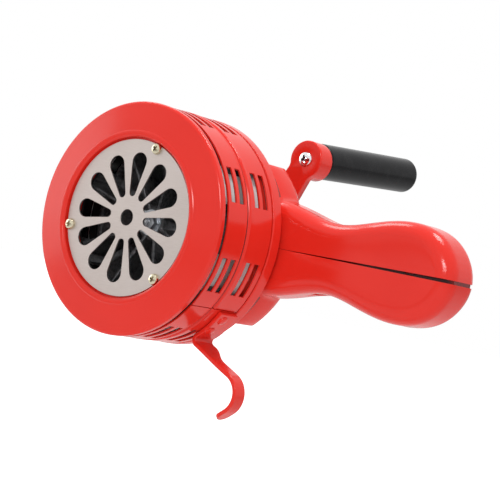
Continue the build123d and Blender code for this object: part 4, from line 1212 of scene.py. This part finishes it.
def screw_row(name, node, seats, head_r, head, shank_r, length):
    """Equal screws, each at its own seat, as one piece in place of the node."""
    screws = [
        moved(pan_head(head_r, head, shank_r, length), seat @ Matrix.Rotation(1.1 * i, 4, "Z"))
        for i, seat in enumerate(seats)
    ]
    placed(merged(screws), name, "frame", clear_zinc, [node], angle=28)


turned_over = Matrix.Rotation(math.pi, 4, "X")
stator_screw_turn, stator_screw_depth, stator_screw_at = 64, 48 * mm, 48.5 * mm
stator_seats = [
    about_drum(math.radians(stator_screw_turn + 90 * i))
    @ Matrix.Translation((0, stator_screw_depth, stator_screw_at))
    @ facing_back
    for i in range(4)
]
screw_row("stator_screw_heads", "stator_screws", stator_seats, 2.75 * mm, 2.96 * mm, 1.5 * mm, 20.98 * mm)
case_screw_head, case_screw_at = 2.4 * mm, 40 * mm
case_seat_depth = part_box("case_screws")[1].y - case_screw_head
case_seats = [
    about_drum(math.radians(turn)) @ Matrix.Translation((0, case_seat_depth, case_screw_at)) @ facing_back
    for turn in (45, 135, -30, -150)
]
screw_row("case_screw_heads", "case_screws", case_seats, 3.0 * mm, case_screw_head, 1.6 * mm, 28.6 * mm)
grip_middle, grip_screw_sink = 64.2 * mm, -9 * mm
grip_seats = [
    Matrix.Translation((along, grip_middle, grip_screw_sink)) @ turned_over for along in (72 * mm, 121 * mm)
]
screw_row("grip_screw_heads", "grip_screws", grip_seats, 3.1 * mm, 2.4 * mm, 1.6 * mm, 18 * mm)

# --- The crank ---
# A cast arm with a hub and a boss, sprayed red, clamped on its shaft by a washer and a plated nut. A
# bright cross-headed screw at its front holds the handle's spindle.
refined("crank_arm", red_paint, angle=30)
refined("crank_thrust_washer", clear_zinc)
refined("crank_washer", clear_zinc)
crank_nut = nut_for("crank_nut", 4.02 * mm)
placed(crank_nut, "crank_nut_chamfered", "crank", clear_zinc, ["crank_nut"], angle=25)
arm_at = 99 * mm
crank_radius = 52.3 * mm
crank_turn = math.radians(25.4)
handle_lean = math.radians(4.6)
handle_seat = (
    about_drum(crank_turn)
    @ Matrix.Translation((0, arm_at, crank_radius))
    @ Matrix.Rotation(handle_lean, 4, "X")
    @ facing_back
)
handle_screw_seat = handle_seat @ Matrix.Translation((0, 0, 1 * mm)) @ turned_over
handle_screw = moved(pan_head(3.9 * mm, 2.4 * mm, 2.4 * mm, 18 * mm), handle_screw_seat)
placed(handle_screw, "handle_screw_head", "crank", bright_nickel, ["handle_screw"], angle=28)
refined("handle_spindle", ground_steel)

# --- The handle ---
# A turned or moulded grip of black plastic with a satin skin, rounded at both ends and closed at the
# back. It snaps over the spindle's ring and turns freely.
handle_r = 9 * mm
handle_length = 76.5 * mm
handle_start = 10.3 * mm
handle_edge = 2.6 * mm
bore_r = 4.1 * mm
bore_end = handle_start + handle_length - 9 * mm
handle_end = handle_start + handle_length


def plastic_group():
    """Moulded plastic: a fine pebbled skin, faint scuffs round it and a slow change of gloss."""
    tree, given, made, place = finish_group(
        "moulded skin",
        (
            ("Color", "Color", (0.02, 0.02, 0.02, 1)),
            ("Worn", "Color", (0.05, 0.05, 0.05, 1)),
            ("Roughness", "Float", 0.35),
            ("Pebble", "Float", 2500.0),
        ),
    )
    nodes, links = tree.nodes, tree.links
    pebble = nodes.new("ShaderNodeTexVoronoi")
    links.new(place.outputs["Object"], pebble.inputs["Vector"])
    links.new(given.outputs["Pebble"], pebble.inputs["Scale"])
    scuff = noise_at(tree, place.outputs["Object"], detail=5, scale=180)
    worn = nodes.new("ShaderNodeMapRange")
    worn.inputs["From Min"].default_value = 0.5
    worn.inputs["From Max"].default_value = 0.8
    links.new(scuff.outputs["Fac"], worn.inputs["Value"])
    tone = nodes.new("ShaderNodeMixRGB")
    links.new(worn.outputs["Result"], tone.inputs["Fac"])
    links.new(given.outputs["Color"], tone.inputs["Color1"])
    links.new(given.outputs["Worn"], tone.inputs["Color2"])
    links.new(tone.outputs["Color"], made.inputs["Color"])
    duller_by(tree, given, made, scuff.outputs["Fac"]).default_value = 0.12
    raised(tree, made, pebble.outputs["Distance"], 0.1 * mm).default_value = 0.12
    return tree


black_plastic = finish_from(
    plastic_group(),
    "black_plastic",
    {"Metallic": 0.0, "Specular IOR Level": 0.13},
    {
        "Color": (0.008, 0.008, 0.009, 1),
        "Worn": (0.016, 0.016, 0.017, 1),
        "Roughness": 0.15,
        "Pebble": 2400.0,
    },
)


def quarter(centre_r, centre_h, radius, start, steps=6):
    """Points of a rounded edge: a quarter turn from an angle, clockwise."""
    angles = [math.radians(start - 90 * i / steps) for i in range(steps + 1)]
    return [(centre_r + radius * math.cos(a), centre_h + radius * math.sin(a)) for a in angles]


front_edge = handle_edge / 2
handle = spun(
    [
        (0, handle_end),
        *quarter(handle_r - handle_edge, handle_end - handle_edge, handle_edge, 90),
        *quarter(handle_r - front_edge, handle_start + front_edge, front_edge, 0),
        (bore_r, handle_start),
        (bore_r, bore_end),
        (0, bore_end),
    ],
    steps=96,
)
moved(handle, handle_seat)
placed(handle, "crank_handle_moulded", "handle", black_plastic, ["crank_handle"])
